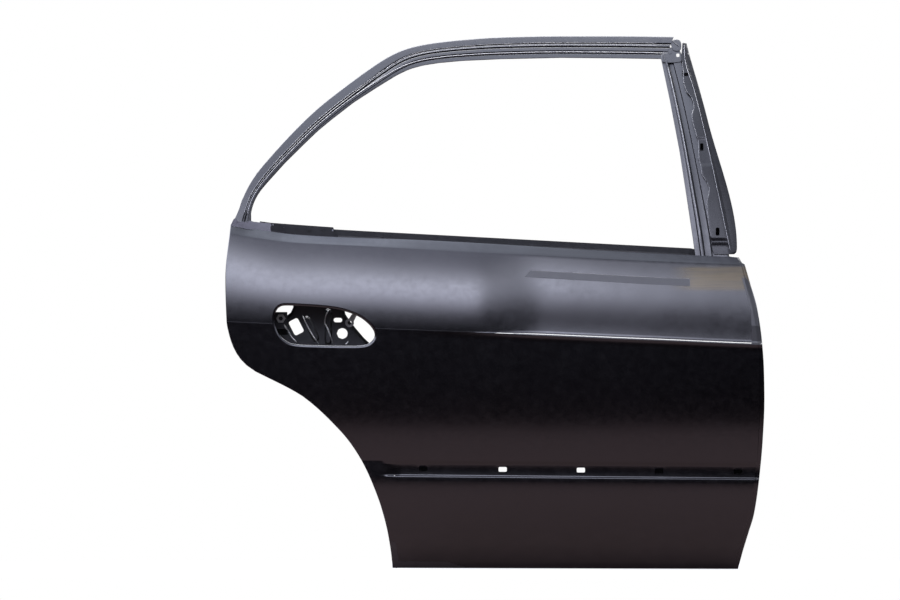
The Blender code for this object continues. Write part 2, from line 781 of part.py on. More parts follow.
def boolean_all(obj, name, others, operation="DIFFERENCE"):
    """One Boolean with a group of tools that don't touch each other."""
    group = bpy.data.collections.new(name)
    tools.children.link(group)
    for other in others:
        tools.objects.unlink(other)
        group.objects.link(other)
    modifier = obj.modifiers.new(name, "BOOLEAN")
    modifier.operation = operation
    modifier.operand_type = "COLLECTION"
    modifier.collection = group
    modifier.solver = "EXACT"
    return obj


def make_skin():
    bm = bmesh.new()
    grid = [[bm.verts.new(point) for point in row] for row in SKIN_GRID]
    for upper, lower in zip(grid, grid[1:]):
        for j in range(len(upper) - 1):
            bm.faces.new((upper[j], lower[j], lower[j + 1], upper[j + 1]))
    edge = [row[0] for row in grid[1:]] + grid[-1][1:]
    edge += [row[-1] for row in reversed(grid[1:-1])]
    walls = [bm.verts.new(shift(vert.co, y=HEM_DEPTH)) for vert in edge]
    returns = [bm.verts.new(point) for point in hem_points()]
    for first, second in ((edge, walls), (walls, returns)):
        for i in range(len(edge) - 1):
            bm.faces.new((first[i], second[i], second[i + 1], first[i + 1]))
    belt = grid[0][1:-2]
    turned = [bm.verts.new(shift(vert.co, y=belt_turn(vert.co.x))) for vert in belt]
    flange = [bm.verts.new(shift(vert.co, z=-BELT_FLANGE)) for vert in turned]
    for first, second in ((belt, turned), (turned, flange)):
        for i in range(len(belt) - 1):
            bm.faces.new((first[i], first[i + 1], second[i + 1], second[i]))
    bmesh.ops.recalc_face_normals(bm, faces=bm.faces)
    bm.faces.ensure_lookup_table()
    if bm.faces[0].normal.y > 0:
        bmesh.ops.reverse_faces(bm, faces=bm.faces)
    skin = thicken(new_object("outer_skin", bm, PRIMER), SKIN_GAUGE)
    outline = rounded([place(pixel) for pixel in HANDLE_EDGE_PX], HANDLE_POINTS)
    cutter, lip = lip_tools("handle_opening", outline, skin_y, HANDLE_LIP_STEPS, SKIN_GAUGE)
    boolean(skin, cutter)
    boolean(skin, lip, "UNION")
    holes = []
    for i, pixel in enumerate(CLIP_HOLES_PX):
        outline = slot_outline(place(pixel), CLIP_HOLE_LENGTH, CLIP_HOLE_HEIGHT, SKIN_GAUGE, 1)
        holes.append(sheet_cutter(f"clip_hole_{i + 1}", outline, skin_y))
    boolean_all(skin, "clip_holes", holes)
    return smooth(skin)


make_skin()


# Inner panel: one pressing with the hem flange, the walls and the face that carries the trim


def beside_pad(z, centre_px, length):
    return abs(z - above(centre_px[1])) < length / 2


def rear_wall(z):
    """The x of the rear wall's cavity side. It is flat where the latch sits."""
    if beside_pad(z, LATCH_PX, LATCH_PAD):
        return across(LATCH_PX[0]) + PANEL_GAUGE
    return from_edge(rear_edge, PANEL_FLANGE, 1)(z)


def front_wall(z):
    """The x of the front wall's cavity side. It is flat where each hinge sits."""
    for pad in (HINGE_PX, LOWER_HINGE_PX):
        if beside_pad(z, pad, HINGE_PAD):
            return across(pad[0]) - PANEL_GAUGE
    return from_edge(front_edge, PANEL_FLANGE, -1)(z)


def bottom_wall_line(x):
    return sill_line(x) + PANEL_FLANGE


def bottom_flange_line(x):
    return sill_line(x) + HEM_INSET


def flange_y(x, z):
    """The y of the outboard side of a sheet that lies against the skin."""
    return skin_y(x, z) + SKIN_GAUGE + SEAM_GAP


def panel_face(_x=0, _z=0):
    return inboard(FACE_DEPTH)


def panel_points(height, inner_y, top=None):
    """One row of the panel: flange and wall at the rear, the face, wall and flange in front."""
    row = Row(height, None)
    rear = [
        row_end(row, edge, across(REAR_EDGE_PX))
        for edge in (from_edge(rear_edge, HEM_INSET, 1), rear_wall)
    ]
    front = [
        row_end(row, edge, across(FRONT_EDGE_PX))
        for edge in (
            front_wall, from_edge(front_edge, FRONT_STRIP, -1), from_edge(front_edge, HEM_INSET, -1)
        )
    ]
    inner = [mix(rear[1], front[0], step / PANEL_COLUMNS) for step in range(1, PANEL_COLUMNS)]
    points = [Vector((x, flange_y(x, height(x)), height(x))) for x in rear]
    points.append(Vector((rear[1], inner_y(rear[1], height(rear[1])), height(rear[1]))))
    points += [
        Vector((x, inner_y(x, (top or height)(x)), (top or height)(x))) for x in inner
    ]
    points.append(Vector((front[0], inner_y(front[0], height(front[0])), height(front[0]))))
    return points + [Vector((x, flange_y(x, height(x)), height(x))) for x in front]


def panel_grid():
    heights = [row.height for row in UPPER_ROWS + GROOVE_ROWS + SILL_ROWS]
    grid = [panel_points(heights[0], panel_face, inner_belt)]
    grid += [panel_points(height, panel_face) for height in heights + [bottom_wall_line]]
    grid += [panel_points(height, flange_y) for height in (bottom_wall_line, bottom_flange_line)]
    return grid


PANEL_GRID = panel_grid()


def wall_of(column):
    """The x of a wall's cavity side at each z, as it is meshed."""
    table = sorted((row[column].z, row[column].x) for row in PANEL_GRID[1:-2])
    return lambda z: interpolate(table, z)


rear_wall_at, front_wall_at = wall_of(1), wall_of(-3)


def make_panel():
    points, faces = loft(PANEL_GRID, closed_loops=False)
    bm = bmesh.new()
    corners = [bm.verts.new(point) for point in points]
    for face in faces:
        bm.faces.new([corners[i] for i in face])
    bmesh.ops.remove_doubles(bm, verts=bm.verts, dist=SEAM_GAP / 10)
    bmesh.ops.dissolve_degenerate(bm, edges=bm.edges, dist=SEAM_GAP / 10)
    panel = new_object("inner_panel", bm, PRIMER)
    thicken(face_outboard(panel), PANEL_GAUGE)
    pairs = [
        panel_rim(name, rounded([place(pixel) for pixel in points_px], HOLE_POINTS))
        for name, points_px in SERVICE_HOLES_PX.items()
    ]
    centre = place(SPEAKER_PX)
    pairs.append(panel_rim("speaker_hole", [
        (centre[0] + SPEAKER_RADIUS * math.cos(angle), centre[1] + SPEAKER_RADIUS * math.sin(angle))
        for angle in (2 * math.pi * step / HOLE_POINTS for step in range(HOLE_POINTS))
    ]))
    for i, (start, end) in enumerate(BEADS_PX):
        (x0, z0), (x1, z1) = place(start), place(end)
        outline = slot_outline(
            ((x0 + x1) / 2, (z0 + z1) / 2), math.hypot(x1 - x0, z1 - z0), BEAD_WIDTH,
            BEAD_WIDTH / 2, steps=2, turn=math.atan2(z1 - z0, x1 - x0),
        )
        pairs.append(boss_tools(f"bead_{i + 1}", outline, panel_face, -BEAD_RISE, PANEL_GAUGE))
    cutters = [cutter for cutter, _shell in pairs] + wall_cutters()
    for name, outline in panel_cut_outlines().items():
        cutters.append(sheet_cutter(name, outline, panel_face))
    boolean_all(panel, "panel_cuts", cutters)
    boolean_all(panel, "panel_pressings", [shell for _cutter, shell in pairs], "UNION")
    return smooth(panel)


def hinge_bolts(pad_px):
    """The centres of a hinge's two bolts, on the outside of the front wall."""
    x, z = place(pad_px)
    return [Vector((x, 0, z + side * HINGE_PITCH / 2)) for side in (1, -1)]


def latch_screws():
    x, z = place(LATCH_PX)
    places = ((-1, 1), (1, 1), (-1, -1))
    return [
        Vector((x, LATCH_Y + side * LATCH_PITCH / 2, z + level * LATCH_PITCH / 2))
        for side, level in places
    ]


def wall_cutters():
    """The holes in the front wall and the rear wall."""
    reach = Vector((3 * OVERRUN, 0, 0))
    holes = []
    for pad in (HINGE_PX, LOWER_HINGE_PX):
        for centre in hinge_bolts(pad):
            holes.append(rod("hinge_hole", centre - reach, centre + reach, BOLT_HOLE_RADIUS, 10))
    for centre in latch_screws():
        holes.append(rod("latch_screw", centre - reach, centre + reach, SCREW_HOLE_RADIUS, 8))
    x, z = place(HARNESS_PX)
    harness = Vector((x, 0, z))
    holes.append(rod("harness_hole", harness - 2 * reach, harness + 2 * reach, HARNESS_RADIUS))
    x, z = place(CHECK_PX)
    half = Vector((6 * OVERRUN, CHECK_SLOT_DEPTH / 2, CHECK_SLOT_HEIGHT / 2))
    check = Vector((x, 0, z))
    holes.append(box("check_slot", check - half, check + half))
    x, z = place(LATCH_PX)
    half = Vector((3 * OVERRUN, LATCH_MOUTH_DEPTH / 2, LATCH_MOUTH_HEIGHT / 2))
    latch = Vector((x, LATCH_Y, z - LATCH_PITCH / 2))
    holes.append(box("latch_mouth", latch - half, latch + half))
    return [as_tool(hole) for hole in holes]


def panel_rim(name, outline):
    """A hole in the panel's face with its edge drawn towards the cavity."""
    steps = ((RIM_WIDTH, 0), (0, -RIM_RISE))
    return lip_tools(name, outline, panel_face, steps, PANEL_GAUGE)


def panel_cut_outlines():
    """The plain holes in the panel's face."""
    window = slot_outline(
        place(HANDLE_WINDOW_PX), HANDLE_WINDOW_LENGTH, HANDLE_WINDOW_HEIGHT, HEM_DEPTH,
        turn=math.radians(HANDLE_WINDOW_TURN_DEGREES),
    )
    slot = slot_outline(
        place(HANDLE_SLOT_PX), HANDLE_SLOT_LENGTH, HANDLE_SLOT_HEIGHT,
        HANDLE_SLOT_HEIGHT / 2,
    )
    outlines = {"handle_window": window, "handle_slot": slot}
    rounds = {"handle_hole": (HANDLE_HOLE_PX, HANDLE_HOLE_RADIUS)}
    for i, pixel in enumerate(TRIM_CLIPS_PX):
        rounds[f"trim_clip_{i + 1}"] = (pixel, CLIP_RADIUS)
    for name, (pixel, radius) in rounds.items():
        size = 2 * radius
        outlines[name] = slot_outline(place(pixel), size, size, radius, steps=2)
    return outlines


make_panel()


# Window frame. It follows the plane of the glass, which leans inboard above the belt


def glass_y(z):
    rise = z - belt_line(across((REAR_EDGE_PX + FRONT_EDGE_PX) / 2))
    lean = GLASS_SLOPE_SHARE * rise + GLASS_CURVE_SHARE * rise * rise / DOOR_HEIGHT
    return inboard(GLASS_DEPTH + lean)


def frame_loop(edges_px, section):
    """A section of the frame: (share of the width, y from the glass) points set on the glass."""
    (x0, z0), (x1, z1) = (place(pixel) for pixel in edges_px)
    return [
        Vector((mix(x0, x1, share), glass_y(mix(z0, z1, share)) + offset, mix(z0, z1, share)))
        for share, offset in section
    ]


def outer_section(edges_px):
    header = ease((edges_px[0][0] - SLOPE_END_PX) / (HEADER_START_PX - SLOPE_END_PX))
    return [
        (mix(on_slope, on_header, header), -FRAME_STAND * stand)
        for on_header, on_slope, stand in FRAME_SECTION_SHARES
    ]


def inner_section(edges_px):
    """The inner half: a leg, the back of the box and the lip beside the glass."""
    (x0, z0), (x1, z1) = (place(pixel) for pixel in edges_px)
    height = z0 - inner_belt(x0)
    seat = panel_face() - SEAM_GAP - glass_y(z0)
    back = mix(seat, FRAME_BACK, ease(height / FOOT_BLEND))
    wall = FRAME_GAUGE / math.hypot(x1 - x0, z1 - z0)
    return [
        (BOX_START_SHARE, -FRAME_LEG), (BOX_START_SHARE, back), (BOX_END_SHARE, back),
        (BOX_END_SHARE, FRAME_LIP), (1, FRAME_LIP), (1, FRAME_LIP - FRAME_GAUGE),
        (BOX_END_SHARE - wall, FRAME_LIP - FRAME_GAUGE), (BOX_END_SHARE - wall, back - FRAME_GAUGE),
        (BOX_START_SHARE + wall, back - FRAME_GAUGE), (BOX_START_SHARE + wall, -FRAME_LEG),
    ]


def sash_section(_edges_px):
    return [(share, -FRAME_STAND * stand) for share, stand in SASH_SECTION_SHARES]


def frame_member(name, stations, section):
    loops = [frame_loop(edges_px, section(edges_px)) for edges_px in stations]
    return smooth(solid_between(name, loops, FRAME_PRIMER), 25)


def glass_plate(name, outline_px, offset, gauge, holes=()):
    """A flat plate that follows the plane of the glass, with round (pixel, radius) holes."""
    outline = [place(pixel) for pixel in outline_px]
    loops = [
        [Vector((x, glass_y(z) + offset + step, z)) for x, z in outline] for step in (0, gauge)
    ]
    plate = solid_between(name, loops, FRAME_PRIMER)
    for i, (pixel, radius) in enumerate(holes):
        ring = slot_outline(place(pixel), 2 * radius, 2 * radius, radius)
        boolean(plate, sheet_cutter(f"{name}_hole_{i + 1}", ring, lambda _x, z: glass_y(z) + offset))
    return plate


def make_pillar_bracket():
    """The stamped bracket on the front sash: a face, a pad, a step at the foot and a return."""
    stand = FRAME_STAND * SASH_SECTION_SHARES[2][1] + SEAM_GAP + FRAME_GAUGE
    fold = [(y, x) for x, y in BRACKET_FOLD_PX]
    front = [(y, x) for x, y in BRACKET_FRONT_PX]
    grid = []
    for rear_px, row_px in BRACKET_REAR_PX:
        drop = 0
        if BRACKET_PAD_PX[0] < row_px < BRACKET_PAD_PX[1]:
            drop = BRACKET_PAD_DROP
        if row_px > BRACKET_STEP_PX:
            drop = BRACKET_STEP_DROP
        fold_px, front_px = interpolate(fold, row_px), interpolate(front, row_px)
        z = above(row_px)
        columns = (
            (rear_px, drop + BRACKET_PAD_DROP), (mix(rear_px, fold_px, 0.25), drop),
            (mix(rear_px, fold_px, 0.75), drop), (fold_px, 0), (front_px, BRACKET_RETURN),
        )
        grid.append([
            Vector((across(px), glass_y(z) - stand - BRACKET_PAD_DROP - BRACKET_STEP_DROP + fall, z))
            for px, fall in columns
        ])
    bracket = from_faces("pillar_bracket", *loft(grid, closed_loops=False), FRAME_PRIMER)
    thicken(face_outboard(bracket), FRAME_GAUGE)
    holes = []
    for i, (pixel, length, height) in enumerate(BRACKET_HOLES_PX):
        outline = slot_outline(place(pixel), length, height, FRAME_GAUGE, 1)
        holes.append(sheet_cutter(f"bracket_hole_{i + 1}", outline, lambda _x, z: glass_y(z) - stand))
    boolean_all(bracket, "bracket_holes", holes)
    return smooth(bracket)


frame_member("upper_frame", FRAME_EDGES_PX, outer_section)
frame_member("upper_frame_inner", INNER_FOOT_PX + FRAME_EDGES_PX[2:], inner_section)
frame_member("front_sash", SASH_EDGES_PX, sash_section)
frame_member("front_sash_inner", SASH_EDGES_PX[:SASH_INNER_STATIONS], inner_section)
make_pillar_bracket()
glass_plate(
    "corner_cap", CAP_OUTLINE_PX, -FRAME_STAND - SEAM_GAP - FRAME_GAUGE, FRAME_GAUGE,
    [(CAP_HOLE_PX, CAP_HOLE_RADIUS)],
)
glass_plate("corner_gusset", GUSSET_OUTLINE_PX, FRAME_BACK + GUSSET_STAND, BRACKET_GAUGE)


# Belt: the bracket at the rear and the two reinforcements


def flat_plate(name, outline, near_y, gauge, material=None):
    """A flat plate parallel to the panel's face, from an outline of (x, z) points."""
    loops = [[Vector((x, y, z)) for x, z in outline] for y in (near_y, near_y + gauge)]
    return solid_between(name, loops, material or PRIMER)


def make_belt_bracket():
    near_y = panel_face() - SEAM_GAP - BRACKET_GAUGE
    plate = flat_plate("rear_belt_bracket", [place(pixel) for pixel in BELT_BRACKET_PX], near_y,
                       BRACKET_GAUGE)
    nubs = []
    for i, pixel in enumerate(BELT_NUBS_PX):
        x, z = place(pixel)
        start, end = (x, near_y - NUB_RADIUS, z), (x, near_y + BRACKET_GAUGE / 2, z)
        nubs.append(as_tool(rod(f"belt_nub_{i + 1}", start, end, NUB_RADIUS, 8)))
    return boolean_all(plate, "belt_nubs", nubs, "UNION")


def belt_stations(start_px=BELT_ENDS_PX[0]):
    start, end = across(start_px), across(BELT_ENDS_PX[1])
    return [mix(start, end, step / (BELT_STATIONS - 1)) for step in range(BELT_STATIONS)]


def make_belt_outer():
    """Stiffens the belt's outer lip: it lies on the lip, then swings out to the skin."""
    grid = []
    for x in belt_stations():
        top = belt_line(x)
        lip_y = inboard(chamfer_depth(x, 0) + bow_depth(x) + belt_turn(x)) + SKIN_GAUGE + SEAM_GAP
        rows = [(top - BELT_SEAT, lip_y), (top - BELT_FLANGE, lip_y)]
        rows += [(top - drop, flange_y(x, top - drop)) for drop in (BELT_SWING, BELT_FOOT)]
        grid.append([Vector((x, y, z)) for z, y in rows])
    points, faces = loft(grid, closed_loops=False)
    sheet = from_faces("belt_outer_reinforcement", points, faces, PRIMER)
    return smooth(thicken(face_outboard(sheet), BRACKET_GAUGE))


def make_belt_inner():
    """A hat section on the panel's face, open towards it."""
    seat = panel_face() - SEAM_GAP
    grid = []
    for x in belt_stations(HAT_START_PX):
        top = inner_belt(x)
        rises = (0, 0, HAT_RISE, HAT_RISE, 0, 0)
        grid.append([
            Vector((x, seat - BRACKET_GAUGE - rise, top - drop))
            for drop, rise in zip(HAT_HEIGHTS, rises)
        ])
    points, faces = loft(grid, closed_loops=False)
    sheet = from_faces("belt_inner_reinforcement", points, faces, PRIMER)
    return smooth(thicken(face_outboard(sheet), BRACKET_GAUGE))


# Impact beam


def beam_ends():
    ends = ((BEAM_REAR_PX, BEAM_REAR_DEPTH), (BEAM_FRONT_PX, BEAM_FRONT_DEPTH))
    return [Vector((place(pixel)[0], inboard(depth), place(pixel)[1])) for pixel, depth in ends]


def ring(centre, radius, first, last, count):
    """Points around the beam's direction. An angle of 0 looks inboard, 90 degrees up."""
    points = []
    for step in range(count):
        angle = math.radians(mix(first, last, step / count))
        points.append(shift(centre, y=radius * math.cos(angle), z=radius * math.sin(angle)))
    return points


def make_beam():
    start, end = beam_ends()
    loops = [
        ring(centre, radius, 0, 360, 16)
        for centre, radius in (
            (start, BEAM_RADIUS), (end, BEAM_RADIUS), (end, BEAM_RADIUS - BEAM_WALL),
            (start, BEAM_RADIUS - BEAM_WALL),
        )
    ]
    points, faces = loft(loops + [loops[0]])
    count = len(loops[0])
    faces = [tuple(i % (4 * count) for i in face) for face in faces]
    return smooth(face_outward(from_faces("impact_beam", points[:4 * count], faces, PRIMER)))


def make_beam_bracket(name, centre, side, wall):
    """Half a saddle on the beam, flattened towards the wall and turned along it."""
    radius = BEAM_RADIUS + 2 * SEAM_GAP
    start, end = beam_ends()
    along = (end - start).normalized()
    steps = 8
    arc = [math.radians(mix(-90, 90, step / steps)) for step in range(steps + 1)]
    loops = []
    for reach in (SADDLE_LENGTH, 0):
        middle = centre - side * reach * along
        loops.append([
            shift(middle, y=radius * math.cos(a), z=radius * math.sin(a)) for a in arc
        ])
    flat_y = centre.y + radius
    spread = tall(SADDLE_SPREAD_PX)
    heights = [centre.z + spread * mix(-1, 1, step / steps) for step in range(steps + 1)]
    gap = 2 * SEAM_GAP
    turn = [Vector((wall(z) - side * (gap + SADDLE_BLEND), flat_y, z)) for z in heights]
    corner = [Vector((wall(z) - side * gap, flat_y, z)) for z in heights]
    flange = [shift(point, y=SADDLE_FLANGE) for point in corner]
    loops += [turn, corner, flange]
    sheet = face_outboard(from_faces(name, *loft(loops, closed_loops=False), PRIMER))
    return smooth(thicken(sheet, BRACKET_GAUGE))


def make_pads():
    start, end = beam_ends()
    for i, share in enumerate(PAD_SHARES):
        centre = start.lerp(end, share)
        outline = slot_outline((centre.x, centre.z), PAD_LENGTH, PAD_HEIGHT, PAD_HEIGHT / 3, 2)
        near = [Vector((x, skin_y(x, z) + SKIN_GAUGE + SEAM_GAP, z)) for x, z in outline]
        far = [Vector((x, centre.y - BEAM_RADIUS - SEAM_GAP, z)) for x, z in outline]
        solid_between(f"anti_flutter_pad_{i + 1}", [near, far], MASTIC)


# Plates and nuts inside the walls


def wall_plate(name, wall, side, heights, low_y, leg, gauge, holes):
    """A plate inside a wall, with a leg along the panel's face. It is cut by the wall's holes."""
    seat = panel_face() - SEAM_GAP
    loops = []
    for z in heights:
        x = wall(z) - side * SEAM_GAP
        section = [
            (x, low_y), (x, seat), (x - side * leg, seat), (x - side * leg, seat - gauge),
            (x - side * gauge, seat - gauge), (x - side * gauge, low_y),
        ]
        loops.append([Vector((px, py, z)) for px, py in section])
    plate = solid_between(name, loops, PRIMER)
    return boolean_all(plate, name + "_holes", [as_tool(hole) for hole in holes])


def weld_nut(name, centre, direction, radius=NUT_RADIUS):
    """A hexagonal nut, standing on its centre and drawn in the direction."""
    direction = Vector(direction)
    turn = direction.to_track_quat("Z", "Y")
    loops = []
    for size, height in (
        (radius, 0), (radius, NUT_HEIGHT), (NUT_HOLE_RADIUS, NUT_HEIGHT), (NUT_HOLE_RADIUS, 0),
    ):
        loops.append([
            centre + turn @ Vector((size * math.cos(angle), size * math.sin(angle), height))
            for angle in (math.radians(60 * step) for step in range(6))
        ])
    points, faces = loft(loops + [loops[0]])
    faces = [tuple(i % 24 for i in face) for face in faces]
    return face_outward(from_faces(name, points[:24], faces, STEEL))


def make_hinge_plates():
    reach = Vector((3 * OVERRUN, 0, 0))
    for place_name, pad in (("upper", HINGE_PX), ("lower", LOWER_HINGE_PX)):
        z = place(pad)[1]
        heights = (z - HINGE_PLATE_HALF, z + HINGE_PLATE_HALF)
        flat = across(pad[0]) - PANEL_GAUGE
        holes = [
            rod(f"{place_name}_plate_hole", centre - reach, centre + reach, BOLT_HOLE_RADIUS, 10)
            for centre in hinge_bolts(pad)
        ]
        wall_plate(
            f"{place_name}_hinge_reinforcement", lambda _z, x=flat: x, 1, heights,
            inboard(HINGE_PLATE_DEPTH), HINGE_LEG, HINGE_GAUGE, holes,
        )
        for i, centre in enumerate(hinge_bolts(pad)):
            seat = shift(centre, x=-PANEL_GAUGE - HINGE_GAUGE - 2 * SEAM_GAP)
            weld_nut(f"{place_name}_hinge_nut_{i + 1}", seat, (-1, 0, 0))


def make_check_plate():
    x, z = place(CHECK_PX)
    reach = Vector((3 * OVERRUN, 0, 0))
    span = tall(CHECK_PLATE_HALF_PX)
    heights = (z - span, z + span)
    low_x, high_x = (front_wall_at(at) - SEAM_GAP for at in heights)

    def wall(at):
        return mix(low_x, high_x, (at - heights[0]) / (heights[1] - heights[0]))

    half = Vector((6 * OVERRUN, CHECK_SLOT_DEPTH / 2, CHECK_SLOT_HEIGHT / 2))
    holes = [box("check_plate_slot", Vector((x, 0, z)) - half, Vector((x, 0, z)) + half)]
    for i, side in enumerate((1, -1)):
        level = z + side * CHECK_PITCH / 2
        centre = Vector((wall(level) - SEAM_GAP, 0, level))
        holes.append(rod(f"check_hole_{i + 1}", centre - reach, centre + reach, NUT_HOLE_RADIUS, 8))
        seat = shift(centre, x=-BRACKET_GAUGE - SEAM_GAP)
        weld_nut(f"check_nut_{i + 1}", seat, (-1, 0, 0), NUT_RADIUS - OVERRUN / 2)
    wall_plate(
        "door_check_reinforcement", wall, 1, heights, inboard(CHECK_PLATE_DEPTH), HINGE_LEG / 2,
        BRACKET_GAUGE, holes,
    )


def make_latch_plate():
    x, z = place(LATCH_PX)
    reach = Vector((3 * OVERRUN, 0, 0))
    holes = [
        rod("latch_plate_hole", centre - reach, centre + reach, SCREW_HOLE_RADIUS, 8)
        for centre in latch_screws()
    ]
    half = Vector((3 * OVERRUN, LATCH_MOUTH_DEPTH / 2, LATCH_MOUTH_HEIGHT / 2))
    centre = Vector((x, LATCH_Y, z - LATCH_PITCH / 2))
    holes.append(box("latch_plate_mouth", centre - half, centre + half))
    flat = x + 2 * PANEL_GAUGE
    wall_plate(
        "latch_reinforcement", lambda _z: flat, -1, (z - LATCH_PLATE_HALF, z + LATCH_PLATE_HALF),
        inboard(LATCH_PLATE_DEPTH), LATCH_LEG, BRACKET_GAUGE, holes,
    )


# Brackets behind the handle opening, and the foot of the sash


def make_boss_bracket():
    columns, rows = BOSS_BRACKET_PX
    seat = panel_face() - SEAM_GAP - BRACKET_GAUGE
    grid = [
        [Vector((across(px), seat - rise, above(py))) for px in columns]
        for py, rise in zip(rows, (0, 0, BOSS_RISE, BOSS_RISE))
    ]
    sheet = from_faces("handle_boss_bracket", *loft(grid, closed_loops=False), PRIMER)
    thicken(face_outboard(sheet), BRACKET_GAUGE)
    x, z = place(BOSS_PX)
    weld_nut("handle_weld_nut", Vector((x, seat - BOSS_RISE - SEAM_GAP, z)), (0, -1, 0))


def make_strap():
    """The eye and arm of the handle's strap, on the rim of the front handle hole."""
    (x, z), (arm_x, arm_z) = place(STRAP_PX), place(STRAP_ARM_PX)
    along = Vector((arm_x - x, arm_z - z)).normalized()
    across_arm = Vector((-along.y, along.x))
    outline = []
    first = math.atan2(along.y, along.x)
    for step in range(13):
        angle = first + math.radians(mix(40, 320, step / 12))
        outline.append((x + STRAP_RADIUS * math.cos(angle), z + STRAP_RADIUS * math.sin(angle)))
    for side in (-1, 1):
        end = Vector((arm_x, arm_z)) + across_arm * side * STRAP_RADIUS / 2
        outline.append(tuple(end))
    near_y = panel_face() - RIM_RISE - SEAM_GAP - BRACKET_GAUGE
    strap = flat_plate("handle_strap", outline, near_y, BRACKET_GAUGE, STEEL)
    size = 2 * STRAP_HOLE_RADIUS
    hole = slot_outline(place(STRAP_PX), size, size, STRAP_HOLE_RADIUS, 2)
    return boolean(strap, sheet_cutter("strap_hole", hole, lambda _x, _z: near_y))


def make_sash_bracket():
    """Ties the foot of the front sash to the panel's face."""
    (corner_px, sash_px, face_px), rows = SASH_BRACKET_PX
    corner, sash_end, face_end = (across(px) for px in (corner_px, sash_px, face_px))
    seat = panel_face() - SEAM_GAP
    loops = []
    for z in (above(py) for py in rows):
        near = glass_y(z) + SASH_BRACKET_RISE
        section = [
            (sash_end, near), (corner, near), (corner, seat - BRACKET_GAUGE),
            (face_end, seat - BRACKET_GAUGE), (face_end, seat), (corner + BRACKET_GAUGE, seat),
            (corner + BRACKET_GAUGE, near + BRACKET_GAUGE), (sash_end, near + BRACKET_GAUGE),
        ]
        loops.append([Vector((x, y, z)) for x, y in section])
    return solid_between("front_sash_bracket", loops, PRIMER)


make_belt_bracket()
make_belt_outer()
make_belt_inner()
make_beam()
rear_end, front_end = beam_ends()
make_beam_bracket("beam_rear_bracket", rear_end, -1, rear_wall_at)
make_beam_bracket("beam_front_bracket", front_end, 1, front_wall_at)
make_pads()
make_hinge_plates()
make_check_plate()
make_latch_plate()
make_boss_bracket()
make_strap()
make_sash_bracket()
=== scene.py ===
"""Looks of the car door shell: finer sheets for what shows, materials, studio and camera."""

import bisect
import math

import bmesh
import bpy
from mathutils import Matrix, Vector
from mathutils.bvhtree import BVHTree


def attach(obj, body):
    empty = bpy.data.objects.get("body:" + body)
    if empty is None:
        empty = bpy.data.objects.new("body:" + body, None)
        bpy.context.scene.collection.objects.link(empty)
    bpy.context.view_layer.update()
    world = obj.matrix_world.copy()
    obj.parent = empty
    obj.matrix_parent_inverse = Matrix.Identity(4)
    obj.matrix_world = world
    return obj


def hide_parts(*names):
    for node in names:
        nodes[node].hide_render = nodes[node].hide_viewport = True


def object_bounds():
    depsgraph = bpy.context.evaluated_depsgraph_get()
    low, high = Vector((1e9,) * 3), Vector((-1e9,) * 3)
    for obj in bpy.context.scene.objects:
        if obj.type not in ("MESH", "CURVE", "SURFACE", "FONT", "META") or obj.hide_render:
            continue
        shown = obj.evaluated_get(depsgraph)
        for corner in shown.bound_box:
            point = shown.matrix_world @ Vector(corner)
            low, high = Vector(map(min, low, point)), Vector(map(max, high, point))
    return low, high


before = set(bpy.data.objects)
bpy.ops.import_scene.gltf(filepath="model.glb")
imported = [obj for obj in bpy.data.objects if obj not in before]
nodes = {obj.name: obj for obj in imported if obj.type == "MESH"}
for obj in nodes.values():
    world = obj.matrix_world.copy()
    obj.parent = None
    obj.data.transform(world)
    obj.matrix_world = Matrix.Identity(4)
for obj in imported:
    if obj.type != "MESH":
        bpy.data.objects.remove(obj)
cad_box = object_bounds()
scene = bpy.context.scene

# The photograph: 900 x 600 pixels at 2 mm a pixel, with the origin at this pixel
METRES_A_PIXEL = 0.002
ORIGIN_PX = (752.0, 340.0)
IMAGE_WIDTH, IMAGE_HEIGHT = 900, 600
CAMERA_DISTANCE = 50.0

# Sizes of the solids, repeated
SKIN_GAUGE, FRAME_GAUGE, SEAM_GAP = 0.0008, 0.0012, 0.0003
HINGE_DEPTH, GLASS_DEPTH, FACE_DEPTH = 0.066, 0.068, 0.122
BELT_LEAN, BELT_CHAMFER, BELT_TURN, BELT_FLANGE = 0.030, 0.007, 0.010, 0.016
BOW_TURN_SHARE = 0.7
LEDGE_HEIGHT, LEDGE_STEP = 0.0042, 0.0042
UNDERCUT, UNDERCUT_HEIGHT = 0.0015, 0.014
SIDE_HOLLOW, SILL_TUCK, PLAN_BOW, GROOVE_DEPTH = 0.0115, 0.035, 0.010, 0.0045
FRONT_STRIP, STRIP_DROP, STRIP_RUN = 0.009, 0.0022, 0.012
STRIP_PROFILE = ((0.0, 0.0), (0.09, 0.45), (0.44, 0.72), (0.50, 0.66), (0.56, 0.84), (0.89, 1.0))
STRIP_TOP_PX = 260.0
HEM_WIDTH, HEM_DEPTH, EDGE_ROUND = 0.009, 0.0042, 0.0010
CREASE_FADE_SHARE = 0.06
SHOULDER_TURN, TURN_START = 0.0020, 0.6
SHOULDER_POWER, TURN_POWER, SIDE_POWER, SILL_POWER = 1.7, 4, 2.6, 1.8
SKIN_COLUMNS = 84

